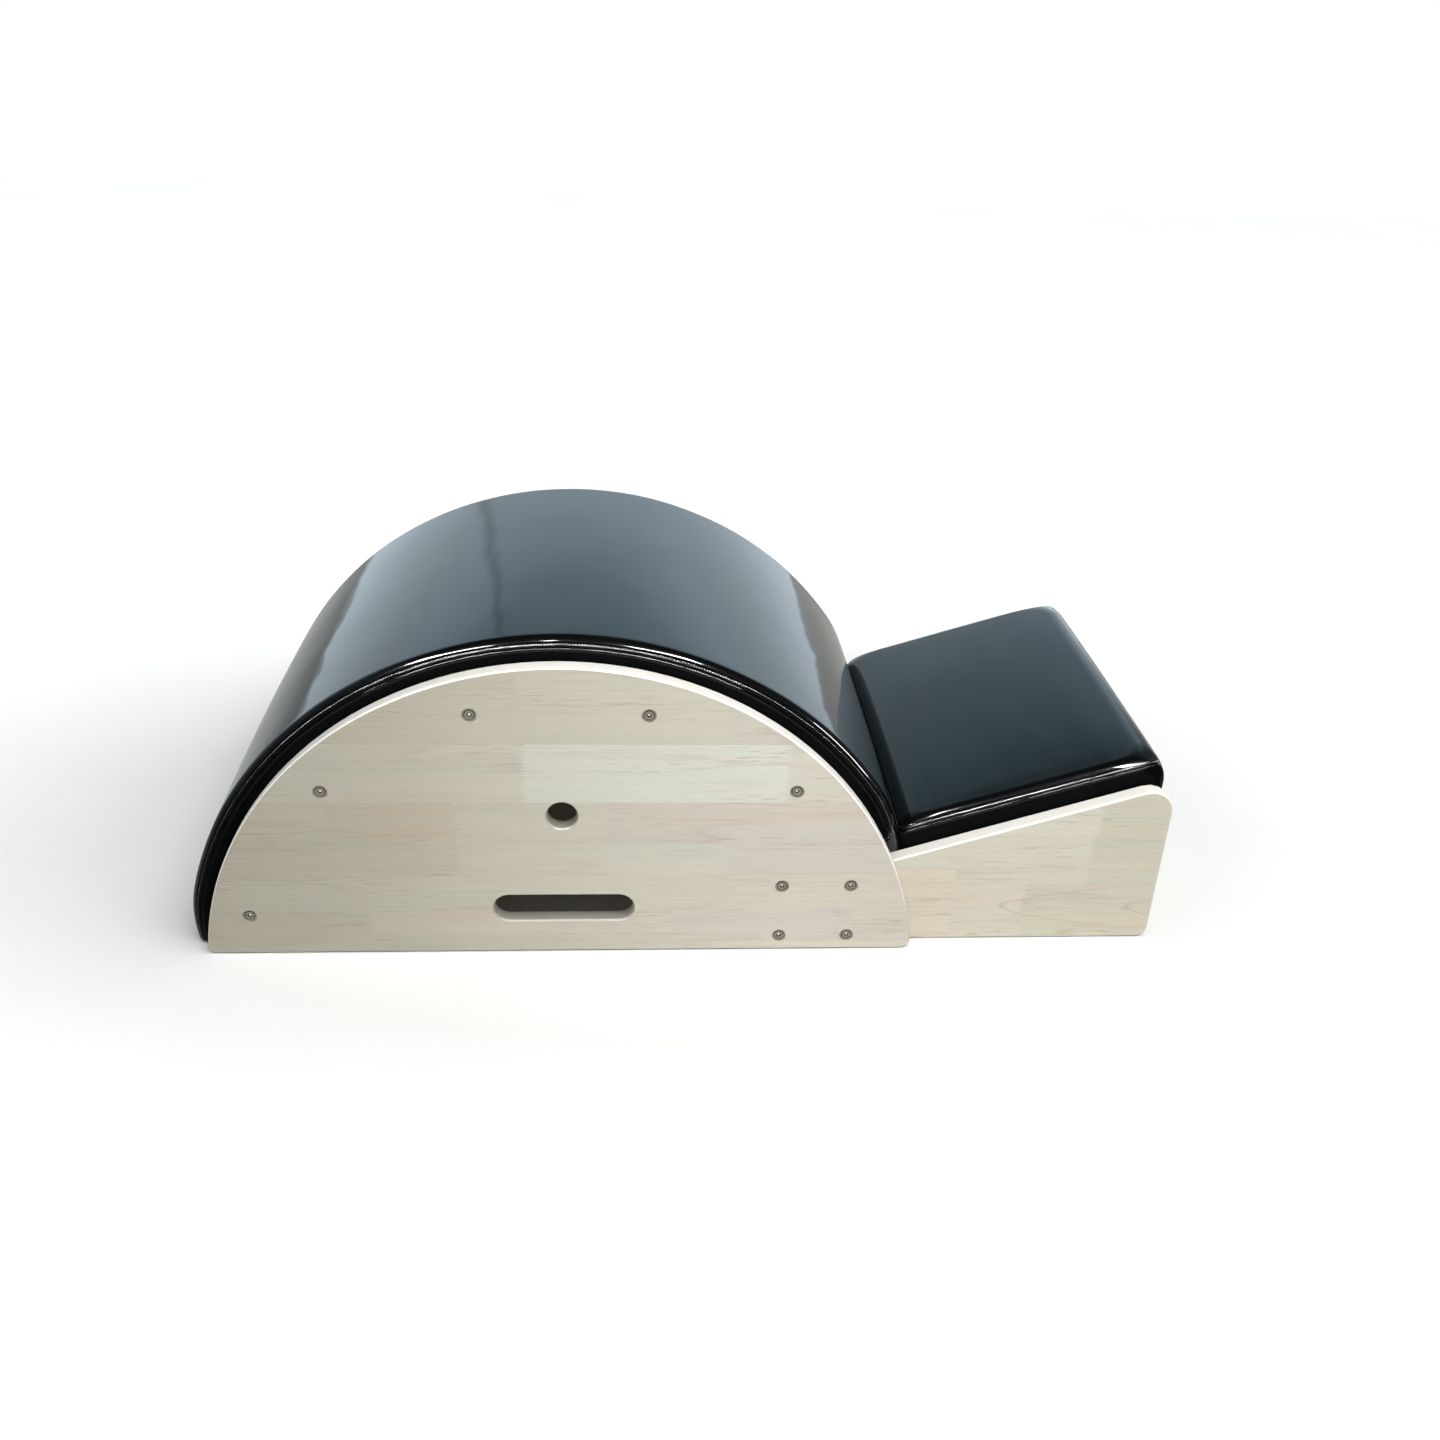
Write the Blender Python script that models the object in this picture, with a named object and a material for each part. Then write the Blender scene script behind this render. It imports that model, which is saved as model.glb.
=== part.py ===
"""Spine corrector: an upholstered half barrel between two boards, with a sloping padded step bolted to it.

X runs along the length, with the barrel at -X and the step at +X. Y runs across and Z is up.
The floor is z = 0 and the origin is the middle of the footprint. Every size is in metres.
"""

import math
from collections import namedtuple

import bmesh
import bpy
from mathutils import Matrix, Vector

# Gap between pieces that touch
FIT = 0.0003

# Barrel side boards
WIDTH = 0.520
BOARD = 0.018
BARREL_RADIUS = 0.410
BARREL_HEIGHT = 0.368
BARREL_CORNER = 0.012
BARREL_FOOT_CORNER = 0.007
BOARD_EDGE = 0.0015
SLOT_LENGTH = 0.160
SLOT_WIDTH = 0.035
SLOT_HEIGHT = 0.0615
PEEP_RADIUS = 0.017
PEEP_HEIGHT = 0.186

# Bent plywood deck and the rails that carry it
DECK_RECESS = 0.014
DECK_THICKNESS = 0.009
FOOT_GAP = 0.0006
RAIL = 0.038
RAIL_ROUND = 0.003
RAIL_COUNT = 5
RAIL_FIRST_ANGLE = math.radians(45)
RAIL_PITCH_ANGLE = math.radians(30)

# Upholstery
COVER = 0.0012
BARREL_PAD = 0.040
STEP_PAD = 0.050
CROWN = 0.002
PAD_EDGE = 0.011
PAD_DRAW = 0.0012
PAD_SIDE_WAIST = 0.6
PAD_MOST_EDGE = 0.8
PAD_GAP = 0.003

# The end of a pad: length and depth of its rounding, its plan corners, and the length over which
# the top sinks and the side edges grow softer towards the end
PadEnd = namedtuple("PadEnd", "run drop corner taper sink growth")
BARREL_PAD_FOOT = PadEnd(run=0.008, drop=0.010, corner=0.004, taper=0.070, sink=0.009, growth=0.003)
BARREL_PAD_SEAT = PadEnd(run=0.015, drop=0.014, corner=0.034, taper=0.080, sink=0.013, growth=0.014)
STEP_PAD_REAR = PadEnd(run=0.015, drop=0.020, corner=0.024, taper=0.050, sink=0.003, growth=0.008)
STEP_PAD_NOSE = PadEnd(run=0.034, drop=0.046, corner=0.018, taper=0.090, sink=0.006, growth=0.020)

# Step: two side boards, a sloping seat board on cleats, and an end board
STEP_REACH = 0.700
STEP_LOW = 0.1125
STEP_HIGH = 0.2155
STEP_TOP_CORNER = 0.028
STEP_BOTTOM_CORNER = 0.013
TONGUE = 0.165
TONGUE_CORNER = 0.010
SEAT_RECESS = 0.0155
SEAT_BOARD = 0.015
STEP_PAD_SETBACK = 0.0045
CLEAT = 0.020
END_BOARD_SETBACK = 0.006
END_BOARD_LIFT = 0.002

# Connector bolts, barrel nuts and cap nuts
COUNTERBORE_RADIUS = 0.00825
COUNTERBORE_DEPTH = 0.0035
BOLT_RADIUS = 0.003
BOLT_SLACK = 0.0005
HEAD_RADIUS = 0.0075
HEAD_THICKNESS = 0.0024
HEAD_DOME = 0.0009
SOCKET_RADIUS = 0.0029
SOCKET_DEPTH = 0.0017
RAIL_BOLT_LENGTH = 0.050
BARREL_NUT_RADIUS = 0.005
BARREL_NUT_LENGTH = 0.014
BARREL_NUT_INSET = 0.028
STEP_BOLT_INSET = 0.050
STEP_BOLT_PITCH = 0.080
STEP_BOLT_FOOT = 0.020
STEP_BOLT_TOP_MARGIN = 0.0225
SLEEVE_RADIUS = 0.0045
SLEEVE_LENGTH = 0.013
FLANGE_RADIUS = 0.0075
FLANGE_THICKNESS = 0.002

# Wood screws and dowels
SCREW_RADIUS = 0.002
SCREW_HEAD_RADIUS = 0.004
SCREW_HEAD = 0.0025
SEAT_SCREW_BITE = 0.010
SEAT_SCREWS = 2
DOWEL_RADIUS = 0.004
DOWEL_IN_SIDE = 0.010
DOWEL_IN_END = 0.020

# Facets
ARC_STEP = math.radians(2.5)
CORNER_STEPS = 5
RAIL_CORNER_STEPS = 2
SLOT_STEPS = 12
PEEP_SIDES = 36
PAD_END_STEPS = 4
PAD_TAPER_STEPS = 3
BARREL_PAD_STEPS = 20
STEP_PAD_STEPS = 2
PAD_EDGE_STEPS = 3
CROWN_STEPS = 4
FASTENER_SIDES = 12
SCREW_SIDES = 8
CUT_OVERRUN = 0.004

FRONT = -1
BACK = 1
SIDE_NAMES = {FRONT: "front", BACK: "back"}

# Levels and half widths that follow from the sizes above
ARC_DROP = BARREL_RADIUS - BARREL_HEIGHT
HALF = WIDTH / 2
BARREL_INSIDE = HALF - BOARD
STEP_OUTSIDE = BARREL_INSIDE - FIT
STEP_INSIDE = STEP_OUTSIDE - BOARD
DECK_OUTER = BARREL_RADIUS - DECK_RECESS
DECK_INNER = DECK_OUTER - DECK_THICKNESS
LINING = COVER + FIT

# The pad and the deck end just above the floor, and on top of the step's side boards
FOOT_ANGLE = math.pi - math.asin((FOOT_GAP + ARC_DROP) / DECK_INNER)
SEAT_ANGLE = math.asin((STEP_LOW + 2 * FIT + ARC_DROP) / DECK_INNER)

# The step's top edge, from where it leaves the barrel's arc
JOIN_X = math.sqrt(BARREL_RADIUS**2 - (STEP_LOW + ARC_DROP) ** 2)
SLOPE = math.atan2(STEP_HIGH - STEP_LOW, STEP_REACH - JOIN_X)


def upright(thickness):
    """Height, measured straight up, of something that lies on the slope."""
    return thickness / math.cos(SLOPE)


def step_line(x):
    """Height of the step boards' top edge, x from the barrel's arc centre."""
    return STEP_LOW + (x - JOIN_X) * math.tan(SLOPE)


def seat_top(x):
    return step_line(x) - upright(SEAT_RECESS)


def seat_underside(x):
    return seat_top(x) - upright(SEAT_BOARD)


def arc(x, z, radius, start, end, steps):
    """Points of an arc about (x, z), both ends included."""
    turns = [start + (end - start) * k / steps for k in range(steps + 1)]
    return [(x + radius * math.cos(a), z + radius * math.sin(a)) for a in turns]


def rounded(corners, steps=CORNER_STEPS):
    """Outline through (x, z, radius) corners, each rounded by its radius."""
    outline = []
    for k, (x, z, radius) in enumerate(corners):
        here = Vector((x, z))
        before = (Vector(corners[k - 1][:2]) - here).normalized()
        after = (Vector(corners[(k + 1) % len(corners)][:2]) - here).normalized()
        if radius <= 0:
            outline.append((x, z))
            continue
        half_angle = before.angle(after) / 2
        centre = here + (before + after).normalized() * radius / math.sin(half_angle)
        first = here + before * radius / math.tan(half_angle) - centre
        last = here + after * radius / math.tan(half_angle) - centre
        start = math.atan2(first.y, first.x)
        swing = math.remainder(math.atan2(last.y, last.x) - start, 2 * math.pi)
        outline += arc(centre.x, centre.y, radius, start, start + swing, steps)
    return outline


def material(name, colour, roughness, metallic=0.0):
    made = bpy.data.materials.new(name)
    made.use_nodes = True
    shader = made.node_tree.nodes["Principled BSDF"]
    shader.inputs["Base Color"].default_value = (*colour, 1.0)
    shader.inputs["Roughness"].default_value = roughness
    shader.inputs["Metallic"].default_value = metallic
    return made


def solid(name, mesh_maker, finish=None):
    """One object from a bmesh. Without a finish it is a cutter, which no render shows."""
    mesh = bpy.data.meshes.new(name)
    bmesh.ops.recalc_face_normals(mesh_maker, faces=mesh_maker.faces)
    mesh_maker.to_mesh(mesh)
    mesh_maker.free()
    made = bpy.data.objects.new(name, mesh)
    bpy.context.scene.collection.objects.link(made)
    if finish is None:
        made.hide_render = True
        made.display_type = "WIRE"
    else:
        mesh.materials.append(finish)
        mesh.shade_smooth()
        mesh.set_sharp_from_angle(angle=math.radians(30))
    return made


def add_prism(shape, outline, low, high):
    """Adds an (x, z) outline drawn out along Y."""
    x_shift = ARC_X
    lower = [shape.verts.new((x + x_shift, low, z)) for x, z in outline]
    upper = [shape.verts.new((x + x_shift, high, z)) for x, z in outline]
    shape.faces.new(lower)
    shape.faces.new(upper[::-1])
    for k in range(len(outline)):
        after = (k + 1) % len(outline)
        shape.faces.new((lower[k], upper[k], upper[after], lower[after]))


def prism(name, outline, low, high, finish=None):
    shape = bmesh.new()
    add_prism(shape, outline, low, high)
    return solid(name, shape, finish)


def hexagon_reach(radius, turn):
    """Distance from a hexagon's centre to its side, at an angle from one of its corners."""
    off_corner = abs(math.remainder(turn, math.pi / 3))
    return radius * math.cos(math.pi / 6) / math.cos(math.pi / 6 - off_corner)


def add_turned(shape, profile, sides, place, hexes=0):
    """Adds a turned solid: (radius, depth) rings about the local Z of place, closed at both ends.

    The first rings of the profile, as many as hexes, are hexagons for a key.
    """
    rings = []
    for number, (radius, depth) in enumerate(profile):
        ring = []
        for k in range(sides):
            a = 2 * math.pi * k / sides
            reach = hexagon_reach(radius, a) if number < hexes else radius
            ring.append(shape.verts.new(place @ Vector((reach * math.cos(a), reach * math.sin(a), depth))))
        rings.append(ring)
    for ring, above in zip(rings, rings[1:]):
        for k in range(sides):
            after = (k + 1) % sides
            shape.faces.new((ring[k], ring[after], above[after], above[k]))
    shape.faces.new(rings[0][::-1])
    shape.faces.new(rings[-1])


def turned_cutter(name, profile, sides, places):
    """One cutter with the same turned hole at each place."""
    shape = bmesh.new()
    for place in places:
        add_turned(shape, profile, sides, place)
    return solid(name, shape)


def turned_pieces(name, profile, sides, places, finish, hexes=0):
    """Numbered objects that share one turned mesh, one at each place."""
    shape = bmesh.new()
    add_turned(shape, profile, sides, Matrix.Identity(4), hexes)
    first = solid(f"{name}_1", shape, finish)
    pieces = [first]
    for number in range(2, len(places) + 1):
        copy = bpy.data.objects.new(f"{name}_{number}", first.data)
        bpy.context.scene.collection.objects.link(copy)
        pieces.append(copy)
    for piece, place in zip(pieces, places):
        piece.matrix_world = place
    return pieces


def cut(target, cutter):
    modifier = target.modifiers.new("cut_" + cutter.name, "BOOLEAN")
    modifier.operation = "DIFFERENCE"
    modifier.object = cutter


def ease_edges(target, width):
    """A small chamfer on the long edges of a board, not on the facets of its curves."""
    modifier = target.modifiers.new("eased_edges", "BEVEL")
    modifier.width = width
    modifier.segments = 1
    modifier.limit_method = "ANGLE"
    modifier.angle_limit = math.radians(40)


def facing(point, direction):
    """Local Z along direction, origin at point, x from the barrel's arc centre."""
    turn = Vector(direction).to_track_quat("Z", "Y").to_matrix().to_4x4()
    return Matrix.Translation(Vector(point) + Vector((ARC_X, 0, 0))) @ turn


Station = namedtuple("Station", "where lower narrower softer")


def pad_end(end, inset):
    """Stations of a pad's end, each at its distance from the end.

    An inset pad has the same centres of rounding, so that a cover keeps its thickness round them.
    """
    rows = []
    for k in range(PAD_END_STEPS + 1):
        a = math.pi / 2 * k / PAD_END_STEPS
        rows.append((end.run - (end.run - inset) * math.cos(a), (end.drop - inset) * (1 - math.sin(a))))
    for k in range(1, PAD_TAPER_STEPS + 1):
        rows.append((end.run + (end.taper - end.run) * k / PAD_TAPER_STEPS, 0.0))
    stations = []
    for distance, turned_down in rows:
        share = (1 - distance / end.taper) ** 2
        plan = end.corner - inset
        cut_in = min(plan, max(0.0, end.corner - distance))
        narrower = plan - math.sqrt(plan**2 - cut_in**2)
        stations.append(Station(distance, turned_down + end.sink * share, narrower, end.growth * share))
    return stations


def pad_section(half, top, bottom, edge):
    """Cross-section of a pad as (y, height) points from one lower edge over the crown to the other."""
    edge = min(edge, top * PAD_MOST_EDGE)
    shoulder = top - edge
    flat = half - edge
    side = [(-half, bottom)]
    if bottom < 0:
        side.append((-half, 0.0))
    side.append((-half + PAD_DRAW, shoulder * PAD_SIDE_WAIST))
    for k in range(PAD_EDGE_STEPS + 1):
        a = math.pi / 2 * k / PAD_EDGE_STEPS
        side.append((-flat - edge * math.cos(a), shoulder + edge * math.sin(a)))
    middle = []
    for k in range(1, CROWN_STEPS):
        across = 2 * k / CROWN_STEPS - 1
        middle.append((across * flat, top + CROWN * (1 - across**2)))
    return side + middle + [(-y, h) for y, h in reversed(side)]


def along(first_end, last_end, start, finish, scale, middle_steps):
    """Stations from start to finish: both ends' own, and plain ones between them."""
    sense = math.copysign(1 / scale, finish - start)
    opening = [station._replace(where=start + sense * station.where) for station in first_end]
    closing = [station._replace(where=finish - sense * station.where) for station in reversed(last_end)]
    span = closing[0].where - opening[-1].where
    middle = [
        Station(opening[-1].where + span * k / middle_steps, 0.0, 0.0, 0.0) for k in range(1, middle_steps)
    ]
    return opening + middle + closing


def barrel_stations(inset):
    """Stations of the barrel's pad, at angles from the foot over the top to the seat."""
    foot = pad_end(BARREL_PAD_FOOT, inset)
    seat = pad_end(BARREL_PAD_SEAT, inset)
    return along(foot, seat, FOOT_ANGLE, SEAT_ANGLE, DECK_OUTER, BARREL_PAD_STEPS)


def arc_point(angle, height):
    """(x, z) of a point of the barrel's pad or deck, height outwards from the deck's outer face.

    The planes lean towards the foot, where the pad's end lies level just above the floor.
    """
    radius = DECK_OUTER + height
    lean = (angle - SEAT_ANGLE) / (FOOT_ANGLE - SEAT_ANGLE)
    level = math.pi - math.asin((FOOT_GAP + ARC_DROP) / radius)
    turned = angle + lean * (level - FOOT_ANGLE)
    return radius * math.cos(turned), radius * math.sin(turned) - ARC_DROP


def on_barrel(angle, y, height):
    x, z = arc_point(angle, height)
    return Vector((ARC_X + x, y, z))


def step_stations(inset):
    """Stations of the step's pad, at x from the arc centre."""
    rear = pad_end(STEP_PAD_REAR, inset)
    nose = pad_end(STEP_PAD_NOSE, inset)
    return along(rear, nose, STEP_PAD_START, STEP_PAD_END, 1.0, STEP_PAD_STEPS)


def on_step(x, y, height):
    """A point of the step's pad or seat board, height straight up from the board's top face."""
    return Vector((ARC_X + x, y, seat_top(x) + height))


def pad_rows(stations, place, half, thickness, bottom, inset):
    """The rows of points of a pad's surface, inset from its outside."""
    rows = []
    for station in stations:
        side = half - inset - station.narrower
        top = thickness - inset - station.lower
        section = pad_section(side, top, bottom, PAD_EDGE - inset + station.softer)
        rows.append([place(station.where, y, h) for y, h in section])
    return rows


def add_skin(shape, rows):
    """Adds the open surface through rows of points, with both of its ends filled."""
    grid = [[shape.verts.new(point) for point in row] for row in rows]
    for row, after in zip(grid, grid[1:]):
        for k in range(len(row) - 1):
            shape.faces.new((row[k], row[k + 1], after[k + 1], after[k]))
    shape.faces.new(grid[0])
    shape.faces.new(grid[-1])
    return grid


def block(name, rows, finish):
    """A closed solid swept through rows of points."""
    shape = bmesh.new()
    grid = add_skin(shape, rows)
    for row, after in zip(grid, grid[1:]):
        shape.faces.new((row[0], row[-1], after[-1], after[0]))
    return solid(name, shape, finish)


def sleeve_cover(name, outside, inside, finish):
    """A cover open underneath: two swept skins joined round their lower rim."""
    shape = bmesh.new()
    outer = add_skin(shape, outside)
    inner = add_skin(shape, inside)
    for k in range(len(outer) - 1):
        for edge in (0, -1):
            shape.faces.new((outer[k][edge], outer[k + 1][edge], inner[k + 1][edge], inner[k][edge]))
    for end in (0, -1):
        shape.faces.new((outer[end][0], outer[end][-1], inner[end][-1], inner[end][0]))
    return solid(name, shape, finish)


def plate_rows(stations, place, half, thickness):
    """The rows of points of a board that lies under a pad and follows its plan."""
    rows = []
    for station in stations:
        wide = half - station.narrower
        section = ((-wide, -thickness), (-wide, 0.0), (wide, 0.0), (wide, -thickness))
        rows.append([place(station.where, y, h) for y, h in section])
    return rows


# The barrel pad's furthest point sets where the arc centre lies, so that the footprint is centred
CROWN_LINE = [arc_point(s.where, BARREL_PAD + CROWN - s.lower) for s in barrel_stations(0.0)]
PAD_REACH = -min(x for x, _ in CROWN_LINE)
ARC_X = (PAD_REACH - STEP_REACH) / 2

# The step's pad starts just clear of the barrel's, and stops just inside the boards' end
BARREL_PAD_FACE = max(x for x, z in CROWN_LINE if z < STEP_LOW + STEP_PAD)
STEP_PAD_START = BARREL_PAD_FACE + PAD_GAP
STEP_PAD_END = STEP_REACH - STEP_PAD_SETBACK

# The rails' outer faces touch the deck's facets at their own corners
STATION_ANGLES = [station.where for station in barrel_stations(LINING)]
WIDEST_FACET = max(a - b for a, b in zip(STATION_ANGLES, STATION_ANGLES[1:]))
DECK_CLEAR = DECK_INNER * math.cos(WIDEST_FACET / 2)
RAIL_OUTER = math.sqrt(DECK_CLEAR**2 - (RAIL / 2) ** 2) - FIT
BOLT_CIRCLE = RAIL_OUTER - RAIL / 2
RAIL_ANGLES = [RAIL_FIRST_ANGLE + k * RAIL_PITCH_ANGLE for k in range(RAIL_COUNT)]
RAIL_CENTRES = [(BOLT_CIRCLE * math.cos(a), BOLT_CIRCLE * math.sin(a) - ARC_DROP) for a in RAIL_ANGLES]
RAIL_HALF = BARREL_INSIDE - FIT

STEP_BOLT_XS = (JOIN_X - STEP_BOLT_INSET - STEP_BOLT_PITCH, JOIN_X - STEP_BOLT_INSET)
STEP_BOLT_ZS = (STEP_BOLT_FOOT, STEP_LOW - STEP_BOLT_TOP_MARGIN)
STEP_BOLT_CENTRES = [(x, z) for x in STEP_BOLT_XS for z in STEP_BOLT_ZS]


def barrel_outline():
    """The half barrel: an arc cut off by the floor, with both bottom corners rounded."""
    corners = []
    for radius in (BARREL_CORNER, BARREL_FOOT_CORNER):
        x = math.sqrt((BARREL_RADIUS - radius) ** 2 - (ARC_DROP + radius) ** 2)
        meet = math.atan2(ARC_DROP + radius, x)
        corners.append((arc(x, radius, radius, -math.pi / 2, meet, CORNER_STEPS), meet))
    (step_corner, first), (foot_corner, last) = corners
    steps = round((math.pi - first - last) / ARC_STEP)
    over = arc(0.0, -ARC_DROP, BARREL_RADIUS, first, math.pi - last, steps)
    return step_corner + over[1:-1] + [(-x, z) for x, z in reversed(foot_corner)]


def slot_outline():
    """The hand slot: two half circles joined by straight edges."""
    end = SLOT_WIDTH / 2
    run = SLOT_LENGTH / 2 - end
    right = arc(run, SLOT_HEIGHT, end, -math.pi / 2, math.pi / 2, SLOT_STEPS)
    left = arc(-run, SLOT_HEIGHT, end, math.pi / 2, 1.5 * math.pi, SLOT_STEPS)
    return right + left


def step_outline():
    """The step's side board: a tongue inside the barrel, then a top edge that climbs to the end."""
    start = JOIN_X - TONGUE
    return rounded(
        [
            (start, 0.0, TONGUE_CORNER),
            (STEP_REACH, 0.0, STEP_BOTTOM_CORNER),
            (STEP_REACH, STEP_HIGH, STEP_TOP_CORNER),
            (JOIN_X, STEP_LOW, 0.0),
            (start, STEP_LOW, TONGUE_CORNER),
        ]
    )


def inward(side, centre):
    """Local Z into the object from the outer face of a barrel side, at a bolt's centre."""
    return facing((centre[0], side * HALF, centre[1]), (0, -side, 0))


def grown(profile, amount):
    """A turned profile made wider by amount, and longer by it at the tip, for the hole that it lies in."""
    wider = [(radius + amount, depth) for radius, depth in profile]
    tip = max(depth for _, depth in profile)
    return [(radius, depth + amount if depth == tip else depth) for radius, depth in wider]


def bolt_profile(length):
    """A hexagon socket in a slightly domed head that sits in its counterbore, and a shank below it."""
    seat = COUNTERBORE_DEPTH - FIT
    return [
        (SOCKET_RADIUS, seat - HEAD_THICKNESS + SOCKET_DEPTH),
        (SOCKET_RADIUS, seat - HEAD_THICKNESS),
        (HEAD_RADIUS - 2 * HEAD_DOME, seat - HEAD_THICKNESS),
        (HEAD_RADIUS, seat - HEAD_THICKNESS + HEAD_DOME),
        (HEAD_RADIUS, seat),
        (BOLT_RADIUS, seat),
        (BOLT_RADIUS, seat + length),
    ]


def bolt_bore(depth):
    return [
        (COUNTERBORE_RADIUS, -CUT_OVERRUN),
        (COUNTERBORE_RADIUS, COUNTERBORE_DEPTH),
        (BOLT_RADIUS + BOLT_SLACK, COUNTERBORE_DEPTH),
        (BOLT_RADIUS + BOLT_SLACK, depth),
    ]


def bolts(name, places, length, finish):
    return turned_pieces(name, bolt_profile(length), FASTENER_SIDES, places, finish, hexes=2)


def screw_profile(length):
    """A countersunk wood screw from its flush head, at depth 0, to its tip."""
    return [
        (SCREW_HEAD_RADIUS, 0.0),
        (SCREW_RADIUS, SCREW_HEAD),
        (SCREW_RADIUS, length - SCREW_HEAD),
        (SCREW_RADIUS / 2, length),
    ]


def screw_bore(length):
    grown_profile = grown(screw_profile(length), FIT)
    mouth = (grown_profile[0][0], -CUT_OVERRUN)
    return [mouth] + grown_profile


def screws(name, length, places, finish, held):
    """Wood screws, and their holes in the pieces that they hold."""
    turned_pieces(name, screw_profile(length), SCREW_SIDES, places, finish)
    cutter = turned_cutter(name + "_holes", screw_bore(length), SCREW_SIDES, places)
    for piece in held:
        cut(piece, cutter)


def make_barrel_sides(finish):
    slot = prism("slot_cutter", slot_outline(), -HALF - CUT_OVERRUN, HALF + CUT_OVERRUN)
    circle = arc(0.0, PEEP_HEIGHT, PEEP_RADIUS, 0.0, 2 * math.pi, PEEP_SIDES)[:-1]
    peep = prism("round_hole_cutter", circle, -HALF - CUT_OVERRUN, HALF + CUT_OVERRUN)
    sides = {}
    for side, name in SIDE_NAMES.items():
        low, high = sorted((side * HALF, side * BARREL_INSIDE))
        made = prism("barrel_side_" + name, barrel_outline(), low, high, finish)
        cut(made, slot)
        cut(made, peep)
        ease_edges(made, BOARD_EDGE)
        sides[side] = made
    return sides


def make_rails(finish):
    """Square rails, each turned so that one face lies under the deck."""
    rails = []
    for number, (angle, (x, z)) in enumerate(zip(RAIL_ANGLES, RAIL_CENTRES), start=1):
        corners = []
        for quarter in range(4):
            a = angle + math.pi / 4 + quarter * math.pi / 2
            out = RAIL / 2 * math.sqrt(2)
            corners.append((x + out * math.cos(a), z + out * math.sin(a), RAIL_ROUND))
        outline = rounded(corners, RAIL_CORNER_STEPS)
        rails.append(prism(f"cross_rail_{number}", outline, -RAIL_HALF, RAIL_HALF, finish))
    return rails


def make_rail_fasteners(sides, rails, finish):
    """Bolts through the side boards into barrel nuts that lie across the rails' ends."""
    nut_half = BARREL_NUT_LENGTH / 2
    nut = [(BARREL_NUT_RADIUS, -nut_half), (BARREL_NUT_RADIUS, nut_half)]
    pocket = [
        (BARREL_NUT_RADIUS + FIT, -RAIL / 2 - CUT_OVERRUN),
        (BARREL_NUT_RADIUS + FIT, nut_half + FIT),
    ]
    bore_depth = COUNTERBORE_DEPTH + RAIL_BOLT_LENGTH + BOLT_SLACK
    for side, name in SIDE_NAMES.items():
        inwards = [inward(side, centre) for centre in RAIL_CENTRES]
        bolts("rail_bolt_" + name, inwards, RAIL_BOLT_LENGTH, finish)
        bores = turned_cutter("rail_bolt_bores_" + name, bolt_bore(bore_depth), FASTENER_SIDES, inwards)
        nut_y = side * (RAIL_HALF - BARREL_NUT_INSET)
        outwards = [
            facing((x, nut_y, z), (math.cos(a), 0, math.sin(a)))
            for a, (x, z) in zip(RAIL_ANGLES, RAIL_CENTRES)
        ]
        nuts = turned_pieces("barrel_nut_" + name, nut, FASTENER_SIDES, outwards, finish)
        pockets = turned_cutter("barrel_nut_pockets_" + name, pocket, FASTENER_SIDES, outwards)
        for bored in [sides[side], *nuts]:
            cut(bored, bores)
        for rail in rails:
            cut(rail, bores)
            cut(rail, pockets)


def make_step_sides(finish):
    sides = {}
    for side, name in SIDE_NAMES.items():
        low, high = sorted((side * STEP_OUTSIDE, side * STEP_INSIDE))
        made = prism("step_side_" + name, step_outline(), low, high, finish)
        ease_edges(made, BOARD_EDGE)
        sides[side] = made
    return sides


def make_step_fasteners(barrel_sides, step_sides, finish):
    """Bolts through both boards of each side into flanged cap nuts on the inside."""
    inner_face = HALF - STEP_INSIDE
    length = inner_face - COUNTERBORE_DEPTH - 2 * FLANGE_THICKNESS
    bore_depth = inner_face + CUT_OVERRUN
    bottom = inner_face - SLEEVE_LENGTH
    well = BOLT_RADIUS + BOLT_SLACK
    cap = inner_face + FIT + FLANGE_THICKNESS
    nut = [
        (well, cap - FLANGE_THICKNESS),
        (well, bottom),
        (SLEEVE_RADIUS, bottom),
        (SLEEVE_RADIUS, inner_face + FIT),
        (FLANGE_RADIUS, inner_face + FIT),
        (FLANGE_RADIUS, cap),
    ]
    pocket = [(SLEEVE_RADIUS + FIT, bottom - FIT), (SLEEVE_RADIUS + FIT, bore_depth)]
    for side, name in SIDE_NAMES.items():
        places = [inward(side, centre) for centre in STEP_BOLT_CENTRES]
        bolts("step_bolt_" + name, places, length, finish)
        turned_pieces("cap_nut_" + name, nut, FASTENER_SIDES, places, finish)
        bores = turned_cutter("step_bolt_bores_" + name, bolt_bore(bore_depth), FASTENER_SIDES, places)
        pockets = turned_cutter("cap_nut_pockets_" + name, pocket, FASTENER_SIDES, places)
        cut(barrel_sides[side], bores)
        cut(step_sides[side], bores)
        cut(step_sides[side], pockets)


def make_deck(finish):
    half = BARREL_INSIDE - FIT - LINING
    rows = plate_rows(barrel_stations(LINING), on_barrel, half, DECK_THICKNESS)
    return block("barrel_deck", rows, finish)


def make_seat_board(finish):
    half = STEP_INSIDE - FIT - LINING
    rows = plate_rows(step_stations(LINING), on_step, half, upright(SEAT_BOARD))
    return block("step_seat_board", rows, finish)


def make_upholstery(name, stations, place, half, thickness, board, foam_finish, cover_finish):
    """A foam block on its board, and a cover that comes down over the foam and the board's edges."""
    foam = pad_rows(stations(LINING), place, half, thickness, FIT, LINING)
    block(name + "_foam", foam, foam_finish)
    outside = pad_rows(stations(0.0), place, half, thickness, -board, 0.0)
    inside = pad_rows(stations(COVER), place, half, thickness, -board, COVER)
    sleeve_cover(name + "_cover", outside, inside, cover_finish)


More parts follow.
